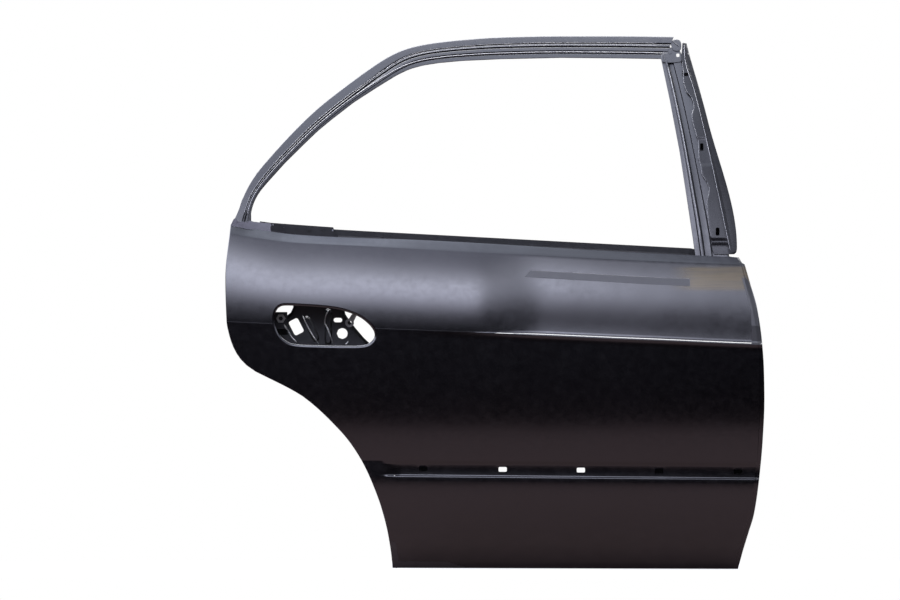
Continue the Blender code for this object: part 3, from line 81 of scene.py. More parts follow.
REAR_OUTLINE_PX = (
    (230.5, 224.6), (225.3, 278.6), (226.5, 320.8), (229.1, 334.7), (234.0, 348.7), (242.4, 361.4),
    (253.7, 370.5), (276.1, 381.7), (298.6, 393.6), (314.3, 405.5), (330.6, 420.8), (349.0, 441.2),
    (363.3, 463.7), (373.5, 486.1), (381.6, 508.6), (387.8, 533.1), (391.8, 559.6), (392.5, 569.2),
)
FRONT_OUTLINE_PX = (
    (735.8, 255.9), (738.4, 259.4), (740.6, 261.8), (744.6, 264.2), (746.2, 269.0), (750.7, 284.8),
    (757.0, 307.1), (761.9, 340.0), (764.0, 370.0), (764.5, 400.0), (762.8, 440.0), (759.1, 480.4),
    (754.0, 514.8), (749.5, 530.0), (743.0, 551.4), (738.3, 569.2),
)
BELT_PX = (
    (225.0, 224.0), (230.6, 224.5), (247.4, 228.0), (268.0, 231.0), (293.9, 234.4), (336.9, 237.0),
    (420.0, 240.0), (640.0, 252.7), (745.0, 257.6),
)
BELT_BREAK_PX = (
    (225.0, 232.6), (247.4, 236.6), (293.9, 242.4), (360.0, 245.6), (420.0, 249.1), (640.0, 260.7),
    (745.0, 264.6),
)
CREASE_PX = (
    (225.0, 321.8), (380.0, 328.8), (500.0, 333.4), (560.0, 336.0), (620.0, 338.6), (660.0, 340.2),
    (700.0, 342.0), (740.0, 343.7), (757.0, 344.3), (765.0, 344.6),
)
GROOVE_TOP_PX = ((360.0, 460.4), (765.0, 463.0))
FLOOR_TOP_PX = ((360.0, 463.6), (765.0, 466.4))
FLOOR_LOW_PX = ((360.0, 474.5), (765.0, 478.3))
GROOVE_LOW_PX = ((360.0, 476.0), (765.0, 479.6))
SILL_PX = ((385.0, 568.1), (745.0, 569.2))
GROOVE_TIP_PX, GROOVE_FULL_PX = 384.0, 398.0
CREASE_RISE_PX, CREASE_FULL_PX = 380.0, 540.0
LEDGE_RISE_PX, LEDGE_FULL_PX, LEDGE_LEAST, LEDGE_LOWEST = 470.0, 545.0, 0.03, 0.3
REAR_EDGE_PX, FRONT_EDGE_PX = 225.0, 764.5

HANDLE_EDGE_PX = (
    (274.6, 318.0), (275.8, 312.0), (279.2, 307.4), (285.8, 305.6), (305.0, 306.4), (325.4, 307.9),
    (342.2, 310.6), (358.9, 316.8), (370.1, 325.7), (374.6, 334.0), (372.0, 340.8), (363.4, 345.0),
    (342.2, 345.5), (318.0, 345.0), (297.5, 344.1), (287.5, 341.3), (279.7, 334.6), (275.4, 326.0),
)
HANDLE_POINTS, HANDLE_STEPS = 96, 6
HANDLE_RIM, HANDLE_LIP_DEPTH = 0.0052, 0.010
CLIP_HOLES_PX = ((423.3, 468.7), (502.7, 469.4), (580.9, 470.1), (659.1, 470.9), (738.1, 471.8))
CLIP_HOLE_LENGTH, CLIP_HOLE_HEIGHT, CLIP_HOLE_CORNER = 0.0165, 0.0095, 0.0022


def clamp(value, low=0.0, high=1.0):
    return max(low, min(high, value))


def mix(a, b, share):
    return a + (b - a) * share


def ease(share):
    share = clamp(share)
    return share * share * (3 - 2 * share)


def across(px):
    return (px - ORIGIN_PX[0]) * METRES_A_PIXEL


def above(px):
    return (ORIGIN_PX[1] - px) * METRES_A_PIXEL


def place(pixel):
    return across(pixel[0]), above(pixel[1])


def inboard(depth):
    return depth - HINGE_DEPTH


def curve_of(table):
    """A smooth curve, with no overshoot, through pairs that rise in their first number."""
    at, values = zip(*table)
    steps = [b - a for a, b in zip(at, at[1:])]
    rises = [(b - a) / step for a, b, step in zip(values, values[1:], steps)]
    slopes = [rises[0]]
    for first, second in zip(rises, rises[1:]):
        slopes.append(0.0 if first * second <= 0 else 2 * first * second / (first + second))
    slopes.append(rises[-1])

    def value(x):
        x = clamp(x, at[0], at[-1])
        i = clamp(bisect.bisect_right(at, x) - 1, 0, len(steps) - 1)
        t, step = (x - at[i]) / steps[i], steps[i]
        start = (1 + 2 * t) * (1 - t) ** 2 * values[i] + t * (1 - t) ** 2 * step * slopes[i]
        return start + t * t * (3 - 2 * t) * values[i + 1] + t * t * (t - 1) * step * slopes[i + 1]

    return value


def line_of(points_px):
    return curve_of([place(pixel) for pixel in points_px])


def edge_of(points_px):
    return curve_of(sorted((above(py), across(px)) for px, py in points_px))


belt_line, belt_break = line_of(BELT_PX), line_of(BELT_BREAK_PX)
crease_line, sill_line = line_of(CREASE_PX), line_of(SILL_PX)
groove_top, floor_top = line_of(GROOVE_TOP_PX), line_of(FLOOR_TOP_PX)
floor_low, groove_low = line_of(FLOOR_LOW_PX), line_of(GROOVE_LOW_PX)
rear_edge, front_edge = edge_of(REAR_OUTLINE_PX), edge_of(FRONT_OUTLINE_PX)


def crease_share(x):
    rise, full = across(CREASE_RISE_PX), across(CREASE_FULL_PX)
    return mix(CREASE_FADE_SHARE, 1.0, ease((x - rise) / (full - rise)))


def ledge_share(x):
    rise, full = across(LEDGE_RISE_PX), across(LEDGE_FULL_PX)
    return mix(LEDGE_LEAST, 1.0, ease((x - rise) / (full - rise)))


def ledge_line(x):
    return crease_line(x) + LEDGE_HEIGHT * max(LEDGE_LOWEST, ledge_share(x))


def undercut_line(x):
    return crease_line(x) - UNDERCUT_HEIGHT


# Meshes


def mesh_object(name, points, faces):
    mesh = bpy.data.meshes.new(name)
    mesh.from_pydata([tuple(point) for point in points], [], faces)
    mesh.update()
    obj = bpy.data.objects.new(name, mesh)
    scene.collection.objects.link(obj)
    return obj


def loft(loops, closed=True, caps=False):
    """(points, faces) of a surface through loops that hold the same number of points."""
    count = len(loops[0])
    points = [point for loop in loops for point in loop]
    faces = []
    for i in range(len(loops) - 1):
        for j in range(count if closed else count - 1):
            k = (j + 1) % count
            faces.append((i * count + j, (i + 1) * count + j, (i + 1) * count + k, i * count + k))
    if caps:
        faces.append(tuple(range(count)))
        faces.append(tuple(reversed(range((len(loops) - 1) * count, len(loops) * count))))
    return points, faces


def turned_out(obj, outboard=False):
    """Makes the normals agree: outward on a solid, or outboard on an open sheet."""
    bm = bmesh.new()
    bm.from_mesh(obj.data)
    bmesh.ops.recalc_face_normals(bm, faces=bm.faces)
    if outboard and sum(face.normal.y * face.calc_area() for face in bm.faces) > 0:
        bmesh.ops.reverse_faces(bm, faces=bm.faces)
    bm.to_mesh(obj.data)
    bm.free()
    return obj


def thicken(obj, gauge):
    solid = obj.modifiers.new("gauge", "SOLIDIFY")
    solid.thickness = gauge
    solid.offset = -1
    solid.use_even_offset = True
    return obj


def applied(obj):
    graph = bpy.context.evaluated_depsgraph_get()
    mesh = bpy.data.meshes.new_from_object(obj.evaluated_get(graph))
    obj.modifiers.clear()
    obj.data = mesh
    return obj


def shaded(obj, degrees=50):
    """Smooth between its sharp edges, with the broad faces kept flat."""
    applied(obj)
    obj.data.shade_smooth()
    obj.data.set_sharp_from_angle(angle=math.radians(degrees))
    normals = obj.modifiers.new("normals", "WEIGHTED_NORMAL")
    normals.keep_sharp = True
    return obj


def cut(obj, outlines):
    """Cuts ((x, z) outline, low y, high y) prisms out of an object."""
    bm = bmesh.new()
    for outline, low_y, high_y in outlines:
        loops = [[bm.verts.new((x, y, z)) for x, z in outline] for y in (low_y, high_y)]
        count = len(outline)
        for j in range(count):
            k = (j + 1) % count
            bm.faces.new((loops[0][j], loops[1][j], loops[1][k], loops[0][k]))
        bm.faces.new(loops[0])
        bm.faces.new(loops[1])
    bmesh.ops.recalc_face_normals(bm, faces=bm.faces)
    mesh = bpy.data.meshes.new("cutter")
    bm.to_mesh(mesh)
    bm.free()
    cutter = bpy.data.objects.new("cutter", mesh)
    scene.collection.objects.link(cutter)
    modifier = obj.modifiers.new("cut", "BOOLEAN")
    modifier.object = cutter
    modifier.solver = "EXACT"
    applied(obj)
    bpy.data.objects.remove(cutter, do_unlink=True)
    return obj


def joined(obj, other):
    bm = bmesh.new()
    bm.from_mesh(obj.data)
    bm.from_mesh(applied(other).data)
    bm.to_mesh(obj.data)
    bm.free()
    bpy.data.objects.remove(other, do_unlink=True)
    return obj


def around(centre, size, steps=24):
    """An oval of (x, z) points with the given (length, height)."""
    return [
        (centre[0] + size[0] / 2 * math.cos(a), centre[1] + size[1] / 2 * math.sin(a))
        for a in (2 * math.pi * step / steps for step in range(steps))
    ]


def slot(centre, size, corner, steps=4, turn=0.0):
    """A rectangle of (x, z) points with rounded corners, turned about its centre."""
    outline = []
    for sx, sz, first in ((1, 1, 0), (-1, 1, 90), (-1, -1, 180), (1, -1, 270)):
        for step in range(steps + 1):
            angle = math.radians(first + 90 * step / steps)
            x = sx * (size[0] / 2 - corner) + corner * math.cos(angle)
            z = sz * (size[1] / 2 - corner) + corner * math.sin(angle)
            outline.append((
                centre[0] + x * math.cos(turn) - z * math.sin(turn),
                centre[1] + x * math.sin(turn) + z * math.cos(turn),
            ))
    return outline


def rounded(points, count):
    """A closed smooth curve of count points through given (x, z) points."""
    total = len(points)
    curve = []
    for step in range(count):
        at = step * total / count
        i = int(at)
        t = at - i
        a, b, c, d = (Vector(points[(i + k) % total]) for k in (-1, 0, 1, 2))
        curve.append(
            (b * 2 + (c - a) * t + (a * 2 - b * 5 + c * 4 - d) * t * t
             + (b * 3 - a - c * 3 + d) * t * t * t) / 2
        )
    return [tuple(point) for point in curve]


def grown(outline, distance):
    """A closed outline of (x, z) points moved outward by a distance."""
    area = sum(a[0] * b[1] - b[0] * a[1] for a, b in zip(outline, outline[1:] + outline[:1]))
    side = 1 if area > 0 else -1
    moved = []
    for i, point in enumerate(outline):
        along = Vector(outline[(i + 1) % len(outline)]) - Vector(outline[i - 1])
        along.normalize()
        moved.append((point[0] + side * distance * along.y, point[1] - side * distance * along.x))
    return moved


def dressed(obj, material, *replaced):
    """A finished piece: its material, the solid it stands for and the body it rides on."""
    obj.data.materials.clear()
    obj.data.materials.append(material)
    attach(obj, "root")
    if replaced:
        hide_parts(*replaced)
    return obj


# Materials

# Colour sockets of the Mix node
MIX_A, MIX_B, MIX_RESULT = 6, 7, 2


def node_material(name):
    material = bpy.data.materials.new(name)
    material.use_nodes = True
    tree = material.node_tree
    return material, tree, tree.nodes["Principled BSDF"]


def add(tree, kind, **values):
    node = tree.nodes.new(kind)
    for key, value in values.items():
        if key in node.inputs:
            node.inputs[key].default_value = value
        else:
            setattr(node, key, value)
    return node


def ramp(tree, source, stops):
    node = tree.nodes.new("ShaderNodeValToRGB")
    elements = node.color_ramp.elements
    while len(elements) < len(stops):
        elements.new(0.5)
    for element, (position, colour) in zip(elements, stops):
        element.position = position
        element.color = (*colour, 1.0)
    tree.links.new(source, node.inputs["Fac"])
    return node


def grey(value):
    return (value, value, value)


def noise(tree, spot, **values):
    node = add(tree, "ShaderNodeTexNoise", **values)
    tree.links.new(spot, node.inputs["Vector"])
    return node.outputs["Fac"]


def primer(name, dark, light, roughness, peel=0.03, gloss=1.0, ior=1.5):
    """Satin electro-dip primer: a faint mottle, an orange-peel surface, waves and fine scuffs."""
    material, tree, shader = node_material(name)
    shader.inputs["Specular IOR Level"].default_value = gloss
    shader.inputs["IOR"].default_value = ior
    spot = add(tree, "ShaderNodeTexCoord").outputs["Object"]
    mottle = noise(tree, spot, Scale=9.0, Detail=6.0, Roughness=0.6)
    dust = noise(tree, spot, Scale=70.0, Detail=8.0, Roughness=0.7)
    skin_peel = noise(tree, spot, Scale=300.0, Detail=3.0, Roughness=0.5)
    waves = noise(tree, spot, Scale=5.0, Detail=2.0, Roughness=0.4)
    colour = ramp(tree, mottle, [(0.3, dark), (0.75, light)])
    tree.links.new(colour.outputs["Color"], shader.inputs["Base Color"])
    least, most = grey(roughness - 0.03), grey(roughness + 0.05)
    rough = ramp(tree, dust, [(0.3, least), (0.7, most)])
    tree.links.new(rough.outputs["Color"], shader.inputs["Roughness"])
    broad = add(tree, "ShaderNodeBump", Strength=0.35, Distance=0.002)
    tree.links.new(waves, broad.inputs["Height"])
    fine = add(tree, "ShaderNodeBump", Strength=peel, Distance=0.00012)
    tree.links.new(skin_peel, fine.inputs["Height"])
    tree.links.new(broad.outputs["Normal"], fine.inputs["Normal"])
    tree.links.new(fine.outputs["Normal"], shader.inputs["Normal"])
    return material


def metal(name, dark, light):
    material, tree, shader = node_material(name)
    spots = noise(
        tree, add(tree, "ShaderNodeTexCoord").outputs["Object"], Scale=160.0, Detail=5.0,
    )
    colour = ramp(tree, spots, [(0.3, grey(dark)), (0.7, grey(light))])
    tree.links.new(colour.outputs["Color"], shader.inputs["Base Color"])
    rough = ramp(tree, spots, [(0.3, grey(0.42)), (0.7, grey(0.62))])
    tree.links.new(rough.outputs["Color"], shader.inputs["Roughness"])
    shader.inputs["Metallic"].default_value = 1.0
    return material


def mastic():
    material, tree, shader = node_material("mastic")
    lumps = noise(
        tree, add(tree, "ShaderNodeTexCoord").outputs["Object"], Scale=120.0, Detail=6.0,
    )
    colour = ramp(tree, lumps, [(0.3, grey(0.06)), (0.8, grey(0.11))])
    tree.links.new(colour.outputs["Color"], shader.inputs["Base Color"])
    bump = add(tree, "ShaderNodeBump", Strength=0.6, Distance=0.001)
    tree.links.new(lumps, bump.inputs["Height"])
    tree.links.new(bump.outputs["Normal"], shader.inputs["Normal"])
    shader.inputs["Roughness"].default_value = 0.8
    return material


OLIVE_PATCH_PX = ((666.0, 265.0), (752.0, 293.0))
OLIVE_PATCH_EDGES = {"left": 0.070, "right": 0.004, "bottom": 0.014, "top": 0.008}
OLIVE_PATCH_COLOUR, OLIVE_PATCH_TINT = (0.070, 0.055, 0.034), (0.85, 0.78, 0.62)


def olive_patch(material):
    """An olive, streaked patch on the shoulder near the front edge, darkening the base colour and
    tinting the reflections.
    """
    tree = material.node_tree
    shader = tree.nodes["Principled BSDF"]
    spot = add(tree, "ShaderNodeTexCoord").outputs["Object"]
    split = add(tree, "ShaderNodeSeparateXYZ")
    tree.links.new(spot, split.inputs[0])
    (left, top), (right, bottom) = (place(pixel) for pixel in OLIVE_PATCH_PX)
    squeeze = add(tree, "ShaderNodeMapping")
    squeeze.inputs["Scale"].default_value = (4.0, 4.0, 90.0)
    tree.links.new(spot, squeeze.inputs["Vector"])
    streaks = noise(tree, squeeze.outputs["Vector"], Scale=2.0, Detail=3.0)
    total = ramp(tree, streaks, [(0.30, grey(0.55)), (0.62, grey(1.0))]).outputs["Color"]
    for axis, start, end in (
        ("X", left, left + OLIVE_PATCH_EDGES["left"]), ("X", right, right - OLIVE_PATCH_EDGES["right"]),
        ("Z", bottom, bottom + OLIVE_PATCH_EDGES["bottom"]), ("Z", top, top - OLIVE_PATCH_EDGES["top"]),
    ):
        side = add(tree, "ShaderNodeMapRange", interpolation_type="SMOOTHSTEP")
        side.inputs["From Min"].default_value = start
        side.inputs["From Max"].default_value = end
        tree.links.new(split.outputs[axis], side.inputs["Value"])
        product = add(tree, "ShaderNodeMath", operation="MULTIPLY")
        tree.links.new(total, product.inputs[0])
        tree.links.new(side.outputs["Result"], product.inputs[1])
        total = product.outputs[0]
    tint = ramp(tree, total, [(0.0, grey(1.0)), (1.0, OLIVE_PATCH_TINT)])
    tree.links.new(tint.outputs["Color"], shader.inputs["Specular Tint"])
    clean = shader.inputs["Base Color"].links[0].from_socket
    blend = add(tree, "ShaderNodeMix", data_type="RGBA")
    blend.inputs[MIX_B].default_value = (*OLIVE_PATCH_COLOUR, 1.0)
    tree.links.new(total, blend.inputs["Factor"])
    tree.links.new(clean, blend.inputs[MIX_A])
    tree.links.new(blend.outputs[MIX_RESULT], shader.inputs["Base Color"])


skin_primer = primer("skin_primer", (0.0008, 0.0007, 0.0010), (0.0018, 0.0016, 0.0022), 0.14)
# A streaked olive patch on the shoulder: darker base colour and olive-tinted reflections
olive_patch(skin_primer)
inner_primer = primer("inner_primer", (0.0030, 0.0030, 0.0038), (0.0055, 0.0054, 0.0066), 0.32)
frame_primer = primer("frame_primer", (0.0040, 0.0042, 0.0055), (0.0070, 0.0074, 0.0092), 0.28)
bracket_primer = primer(
    "bracket_primer", (0.0060, 0.0061, 0.0072), (0.0100, 0.0104, 0.0120), 0.26, gloss=0.45,
)
# The pale sealer primer is the tab's colour, and painted highlight on the nubs of the dark belt
# bracket
sealer_and_highlight_primer = primer("sealer_and_highlight_primer", (0.10, 0.10, 0.115), (0.22, 0.222, 0.25), 0.34, 0.5)
# A lighter, more reflective copy of the primer for the beads and crests: painted highlight
crest_highlight_primer = primer("crest_highlight_primer", (0.012, 0.012, 0.015), (0.024, 0.024, 0.030), 0.46, ior=2.6)
# The second metal is bright, for the ribs behind the handle opening, which are black primer:
# painted highlight
zinc_plate, highlight_metal = metal("zinc_plate", 0.36, 0.60), metal("highlight_metal", 0.70, 0.88)
mastic_material = mastic()
FRAME_NODES = ("upper_frame", "upper_frame_inner", "front_sash", "front_sash_inner", "corner_cap",
               "corner_gusset")


def finish_of(name):
    if name == "outer_skin":
        return skin_primer
    if name in FRAME_NODES:
        return frame_primer
    if name == "pillar_bracket":
        return bracket_primer
    if "nut" in name or name == "handle_strap":
        return zinc_plate
    if "pad" in name:
        return mastic_material
    return inner_primer


for name, obj in nodes.items():
    obj.data.materials.clear()
    obj.data.materials.append(finish_of(name))


# Outer skin, on a mesh fine enough for its reflections


def groove_share(x):
    tip, full = across(GROOVE_TIP_PX), across(GROOVE_FULL_PX)
    return ease((x - tip) / (full - tip))


def chamfer_depth(_x, share):
    return BELT_LEAN + BELT_CHAMFER * (1 - share)


def shoulder_depth(x, share):
    turn = SHOULDER_TURN * ledge_share(x)
    end = LEDGE_STEP * ledge_share(x) + turn
    fall = mix(BELT_LEAN, end, 1 - (1 - share) ** SHOULDER_POWER)
    return fall - turn * clamp((share - TURN_START) / (1 - TURN_START)) ** TURN_POWER


def ledge_depth(x, share):
    return LEDGE_STEP * ledge_share(x) * (1 - share)


def undercut_depth(x, share):
    return UNDERCUT * crease_share(x) * (1 - (1 - share) ** 2)


def side_depth(x, share):
    return undercut_depth(x, 1) + SIDE_HOLLOW * share ** SIDE_POWER


def bevel_in(x, share):
    return side_depth(x, 1) + GROOVE_DEPTH * groove_share(x) * share


def floor_depth(x, _share):
    return bevel_in(x, 1)


def bevel_out(x, share):
    return bevel_in(x, 1 - share)


def sill_depth(x, share):
    return side_depth(x, 1) + SILL_TUCK * share ** SILL_POWER


def band(upper, lower, depth, steps, soft):
    """(height, depth) rows between two lines, kept a soft share off both ends."""
    shares = [soft] + [step / steps for step in range(1, steps)] + [1 - soft]
    return [
        (lambda x, s=s: mix(upper(x), lower(x), s), lambda x, s=s: depth(x, s)) for s in shares
    ]


SKIN_ROWS = (
    [(belt_line, lambda x: chamfer_depth(x, 0) + EDGE_ROUND / 10)]
    + band(belt_line, belt_break, chamfer_depth, 3, 0.06)
    + band(belt_break, ledge_line, shoulder_depth, 30, 0.008)
    + band(ledge_line, crease_line, ledge_depth, 2, 0.16)
    + band(crease_line, undercut_line, undercut_depth, 6, 0.05)
    + band(undercut_line, groove_top, side_depth, 22, 0.004)
    + band(groove_top, floor_top, bevel_in, 1, 0.16)
    + band(floor_top, floor_low, floor_depth, 2, 0.06)
    + band(floor_low, groove_low, bevel_out, 1, 0.12)
    + band(groove_low, sill_line, sill_depth, 18, 0.006)
    + [(sill_line, lambda x: sill_depth(x, 1) + EDGE_ROUND)]
)


def row_end(height, edge, x):
    for _ in range(16):
        x = edge(height(x))
    return x


def bow_depth(x):
    middle = across((REAR_EDGE_PX + FRONT_EDGE_PX) / 2)
    reach = across(FRONT_EDGE_PX) - middle
    return PLAN_BOW * ((x - middle) / reach) ** 2


def skin_row(height, depth):
    x_rear = row_end(height, rear_edge, across(REAR_EDGE_PX))
    x_front = row_end(height, front_edge, across(FRONT_EDGE_PX))
    drop = ease((above(STRIP_TOP_PX) - height(x_front)) / STRIP_RUN)
    strip = mix(FRONT_STRIP / 5, FRONT_STRIP, drop)
    x_fold = x_front - strip
    places = [(x_rear, EDGE_ROUND)]
    for step in range(SKIN_COLUMNS + 1):
        places.append((mix(x_rear + EDGE_ROUND, x_fold - EDGE_ROUND, step / SKIN_COLUMNS), 0.0))
    places += [(x_fold + strip * share, STRIP_DROP * fall * drop) for share, fall in STRIP_PROFILE]
    places.append((x_front, STRIP_DROP * drop + EDGE_ROUND))
    return [Vector((x, inboard(depth(x) + bow_depth(x) + fall), height(x))) for x, fall in places]


SKIN_GRID = [skin_row(height, depth) for height, depth in SKIN_ROWS]
SKIN_TREE = BVHTree.FromPolygons(*loft(SKIN_GRID, closed=False))


def skin_y(x, z):
    start = Vector((x, inboard(-FRONT_STRIP), z))
    hit = SKIN_TREE.ray_cast(start, Vector((0, 1, 0)))[0]
    return (hit or SKIN_TREE.find_nearest(start)[0]).y


def inward(points):
    """Each point of the door's edge moved into the door by the hem's width."""
    moved = []
    for i, point in enumerate(points):
        before, after = points[max(i - 1, 0)], points[min(i + 1, len(points) - 1)]
        along = (after - before).normalized()
        moved.append(point + Vector((-along.z, 0, along.x)) * HEM_WIDTH)
    return moved


def make_skin():
    bm = bmesh.new()
    grid = [[bm.verts.new(point) for point in row] for row in SKIN_GRID]
    for upper, lower in zip(grid, grid[1:]):
        for j in range(len(upper) - 1):
            bm.faces.new((upper[j], lower[j], lower[j + 1], upper[j + 1]))
    edge = [row[0] for row in grid[1:]] + grid[-1][1:]
    edge += [row[-1] for row in reversed(grid[1:-1])]
    walls = [vert.co + Vector((0, HEM_DEPTH, 0)) for vert in edge]
    returns = inward(walls)
    rows = [edge] + [[bm.verts.new(point) for point in points] for points in (walls, returns)]
    for first, second in zip(rows, rows[1:]):
        for i in range(len(edge) - 1):
            bm.faces.new((first[i], second[i], second[i + 1], first[i + 1]))
    belt = grid[0][2:-len(STRIP_PROFILE) - 1]
    turns = [
        Vector((0, BELT_TURN - BOW_TURN_SHARE * bow_depth(vert.co.x), 0)) for vert in belt
    ]
    turned = [bm.verts.new(vert.co + turn) for vert, turn in zip(belt, turns)]
    flange = [bm.verts.new(vert.co - Vector((0, 0, BELT_FLANGE))) for vert in turned]
    for first, second in ((belt, turned), (turned, flange)):
        for i in range(len(belt) - 1):
            bm.faces.new((first[i], first[i + 1], second[i + 1], second[i]))
    mesh = bpy.data.meshes.new("fine_skin")
    bm.to_mesh(mesh)
    bm.free()
    skin = bpy.data.objects.new("fine_skin", mesh)
    scene.collection.objects.link(skin)
    thicken(turned_out(skin, outboard=True), SKIN_GAUGE)

    opening = rounded([place(pixel) for pixel in HANDLE_EDGE_PX], HANDLE_POINTS)
    rim = grown(opening, HANDLE_RIM)
    middle = skin_y(*rim[0])
    cuts = [(rim, middle - FRONT_STRIP, middle + FRONT_STRIP)]
    for pixel in CLIP_HOLES_PX:
        centre = place(pixel)
        outline = slot(centre, (CLIP_HOLE_LENGTH, CLIP_HOLE_HEIGHT), CLIP_HOLE_CORNER)
        middle = skin_y(*centre)
        cuts.append((outline, middle - FRONT_STRIP, middle + FRONT_STRIP))
    cut(skin, cuts)

    loops = []
    for step in range(HANDLE_STEPS + 1):
        turn = math.pi / 2 * step / HANDLE_STEPS
        growth = HANDLE_RIM * (1 - math.sin(turn))
        rise = HANDLE_LIP_DEPTH / 3 * (1 - math.cos(turn))
        loops.append([Vector((x, skin_y(x, z) + rise, z)) for x, z in grown(opening, growth)])
    loops.append([point + Vector((0, HANDLE_LIP_DEPTH * 2 / 3, 0)) for point in loops[-1]])
    lip = thicken(turned_out(mesh_object("lip", *loft(loops)), outboard=True), SKIN_GAUGE)
    return dressed(shaded(joined(skin, lip), 30), skin_primer, "outer_skin")


make_skin()


# Window frame, swept along smooth curves through the same stations as the solids

FRAME_EDGES_PX = (
    ((231.9, 224.2), (249.8, 223.0)), ((232.6, 221.6), (249.8, 220.0)),
    ((236.9, 215.0), (250.8, 212.9)),
    ((241.8, 200.0), (252.9, 203.5)), ((246.5, 189.0), (258.8, 192.4)),
    ((255.3, 174.6), (266.9, 182.7)), ((272.0, 154.6), (284.5, 163.1)),
    ((291.8, 132.9), (303.5, 144.2)), ((305.0, 119.6), (317.4, 130.8)),
    ((318.2, 107.3), (331.5, 119.1)), ((341.0, 89.2), (353.5, 102.0)),
    ((364.5, 71.7), (376.0, 87.4)), ((376.0, 63.6), (386.2, 81.0)),
    ((387.6, 56.3), (396.6, 74.6)), ((402.8, 48.9), (409.0, 68.6)),
    ((418.0, 44.8), (422.4, 64.8)), ((436.0, 41.8), (439.0, 62.2)),
    ((460.0, 39.2), (462.0, 60.1)), ((500.0, 36.4), (501.0, 58.3)),
    ((561.6, 35.2), (561.8, 57.0)), ((620.0, 35.2), (620.0, 57.5)),
    ((674.6, 35.9), (665.9, 58.2)),
)
SASH_EDGES_PX = (
    ((684.5, 58.8), (662.3, 60.4)), ((696.5, 100.0), (670.5, 100.0)),
    ((708.2, 151.0), (680.0, 151.0)), ((718.5, 196.0), (686.8, 196.0)),
    ((728.0, 240.0), (693.3, 240.0)), ((729.0, 256.0), (695.5, 256.0)),
    ((731.0, 268.0), (697.5, 268.0)), ((735.0, 318.0), (705.0, 318.0)),
)
SLOPE_END_PX, HEADER_START_PX = 330.0, 430.0
GLASS_SLOPE_SHARE, GLASS_CURVE_SHARE, DOOR_HEIGHT = 0.20, 0.42, 1.068
FRAME_STAND, CORNER_ROUND, CORNER_SHARE = 0.012, 0.0005, 0.3
HEADER_SECTION = (
    (0.0, -0.17), (0.0, 0.92), (0.012, 1.0), (0.255, 1.0), (0.285, 0.97), (0.315, 0.60),
    (0.345, 0.92), (0.425, 0.93), (0.44, 0.93), (0.465, 0.45), (0.50, 0.80), (0.51, 0.86),
    (0.64, 0.86), (0.652, 0.84), (0.672, 0.48), (0.70, 0.71), (0.735, 0.76), (0.757, 0.76),
    (0.775, 0.50), (0.80, 0.60), (0.815, 0.63), (0.98, 0.62), (1.0, 0.52), (1.0, 0.40),
    (0.77, 0.40), (0.66, 0.36), (0.50, 0.34), (0.30, 0.38), (0.08, 0.58), (0.035, 0.40),
    (0.035, -0.17),
)
SLOPE_SECTION = (
    (0.0, -0.17), (0.0, 0.92), (0.015, 1.0), (0.47, 1.0), (0.495, 1.0), (0.525, 0.60),
    (0.555, 0.88), (0.60, 0.955), (0.61, 0.95), (0.64, 0.55), (0.665, 0.68), (0.675, 0.71),
    (0.745, 0.84), (0.765, 0.84), (0.78, 0.80), (0.785, 0.80), (0.83, 0.80), (0.84, 0.79),
    (0.855, 0.52), (0.87, 0.60), (0.88, 0.62), (0.98, 0.56), (1.0, 0.48), (1.0, 0.38),
    (0.85, 0.38), (0.785, 0.36), (0.70, 0.34), (0.56, 0.36), (0.08, 0.58), (0.04, 0.40),
    (0.04, -0.17),
)
SASH_SECTION_SHARES = (
    (0.00, -0.17), (0.00, 0.45), (0.04, 0.60), (0.48, 0.60), (0.52, 0.25), (0.70, 0.25),
    (0.74, 0.85), (0.82, 0.85), (0.85, 0.40), (0.93, 0.30), (1.00, 0.25), (1.00, 0.12),
    (0.93, 0.15), (0.85, 0.20), (0.54, 0.10), (0.47, 0.42), (0.06, 0.42), (0.035, 0.30),
    (0.035, -0.17),
)
FRAME_STATIONS, SASH_STATIONS, STATION_PASSES = 150, 40, 8


def glass_y(z):
    rise = z - belt_line(across((REAR_EDGE_PX + FRONT_EDGE_PX) / 2))
    lean = GLASS_SLOPE_SHARE * rise + GLASS_CURVE_SHARE * rise * rise / DOOR_HEIGHT
    return inboard(GLASS_DEPTH + lean)


def stations(edges_px, count):
    """Even stations on smooth curves along the pairs of edges."""
    middles = [(Vector(a) + Vector(b)) / 2 for a, b in edges_px]
    reach = [0.0]
    for first, second in zip(middles, middles[1:]):
        reach.append(reach[-1] + (second - first).length)
    columns = zip(*[(*a, *b) for a, b in edges_px])
    curves = [curve_of(list(zip(reach, column))) for column in columns]
    places = [Vector([curve(reach[-1] * i / count) for curve in curves]) for i in range(count + 1)]
    for _ in range(STATION_PASSES):
        between = [(a + b * 2 + c) / 4 for a, b, c in zip(places, places[1:], places[2:])]
        places = [places[0], *between, places[-1]]
    return [((x0, y0), (x1, y1)) for x0, y0, x1, y1 in places]


def softened(loop, size):
    """A closed loop with its corners cut back."""
    points = []
    for before, here, after in zip(loop[-1:] + loop[:-1], loop, loop[1:] + loop[:1]):
        for other in (before, after):
            away = other - here
            points.append(here + away * min(size / max(away.length, size), CORNER_SHARE))
    return points


def sweep(name, edges_px, section, count):
    loops = []
    for edges in stations(edges_px, count):
        (x0, z0), (x1, z1) = (place(pixel) for pixel in edges)
        loop = [
            Vector((mix(x0, x1, share), glass_y(mix(z0, z1, share)) + offset, mix(z0, z1, share)))
            for share, offset in section(edges)
        ]
        loops.append(softened(loop, CORNER_ROUND))
    return turned_out(mesh_object(name, *loft(loops, caps=True)))


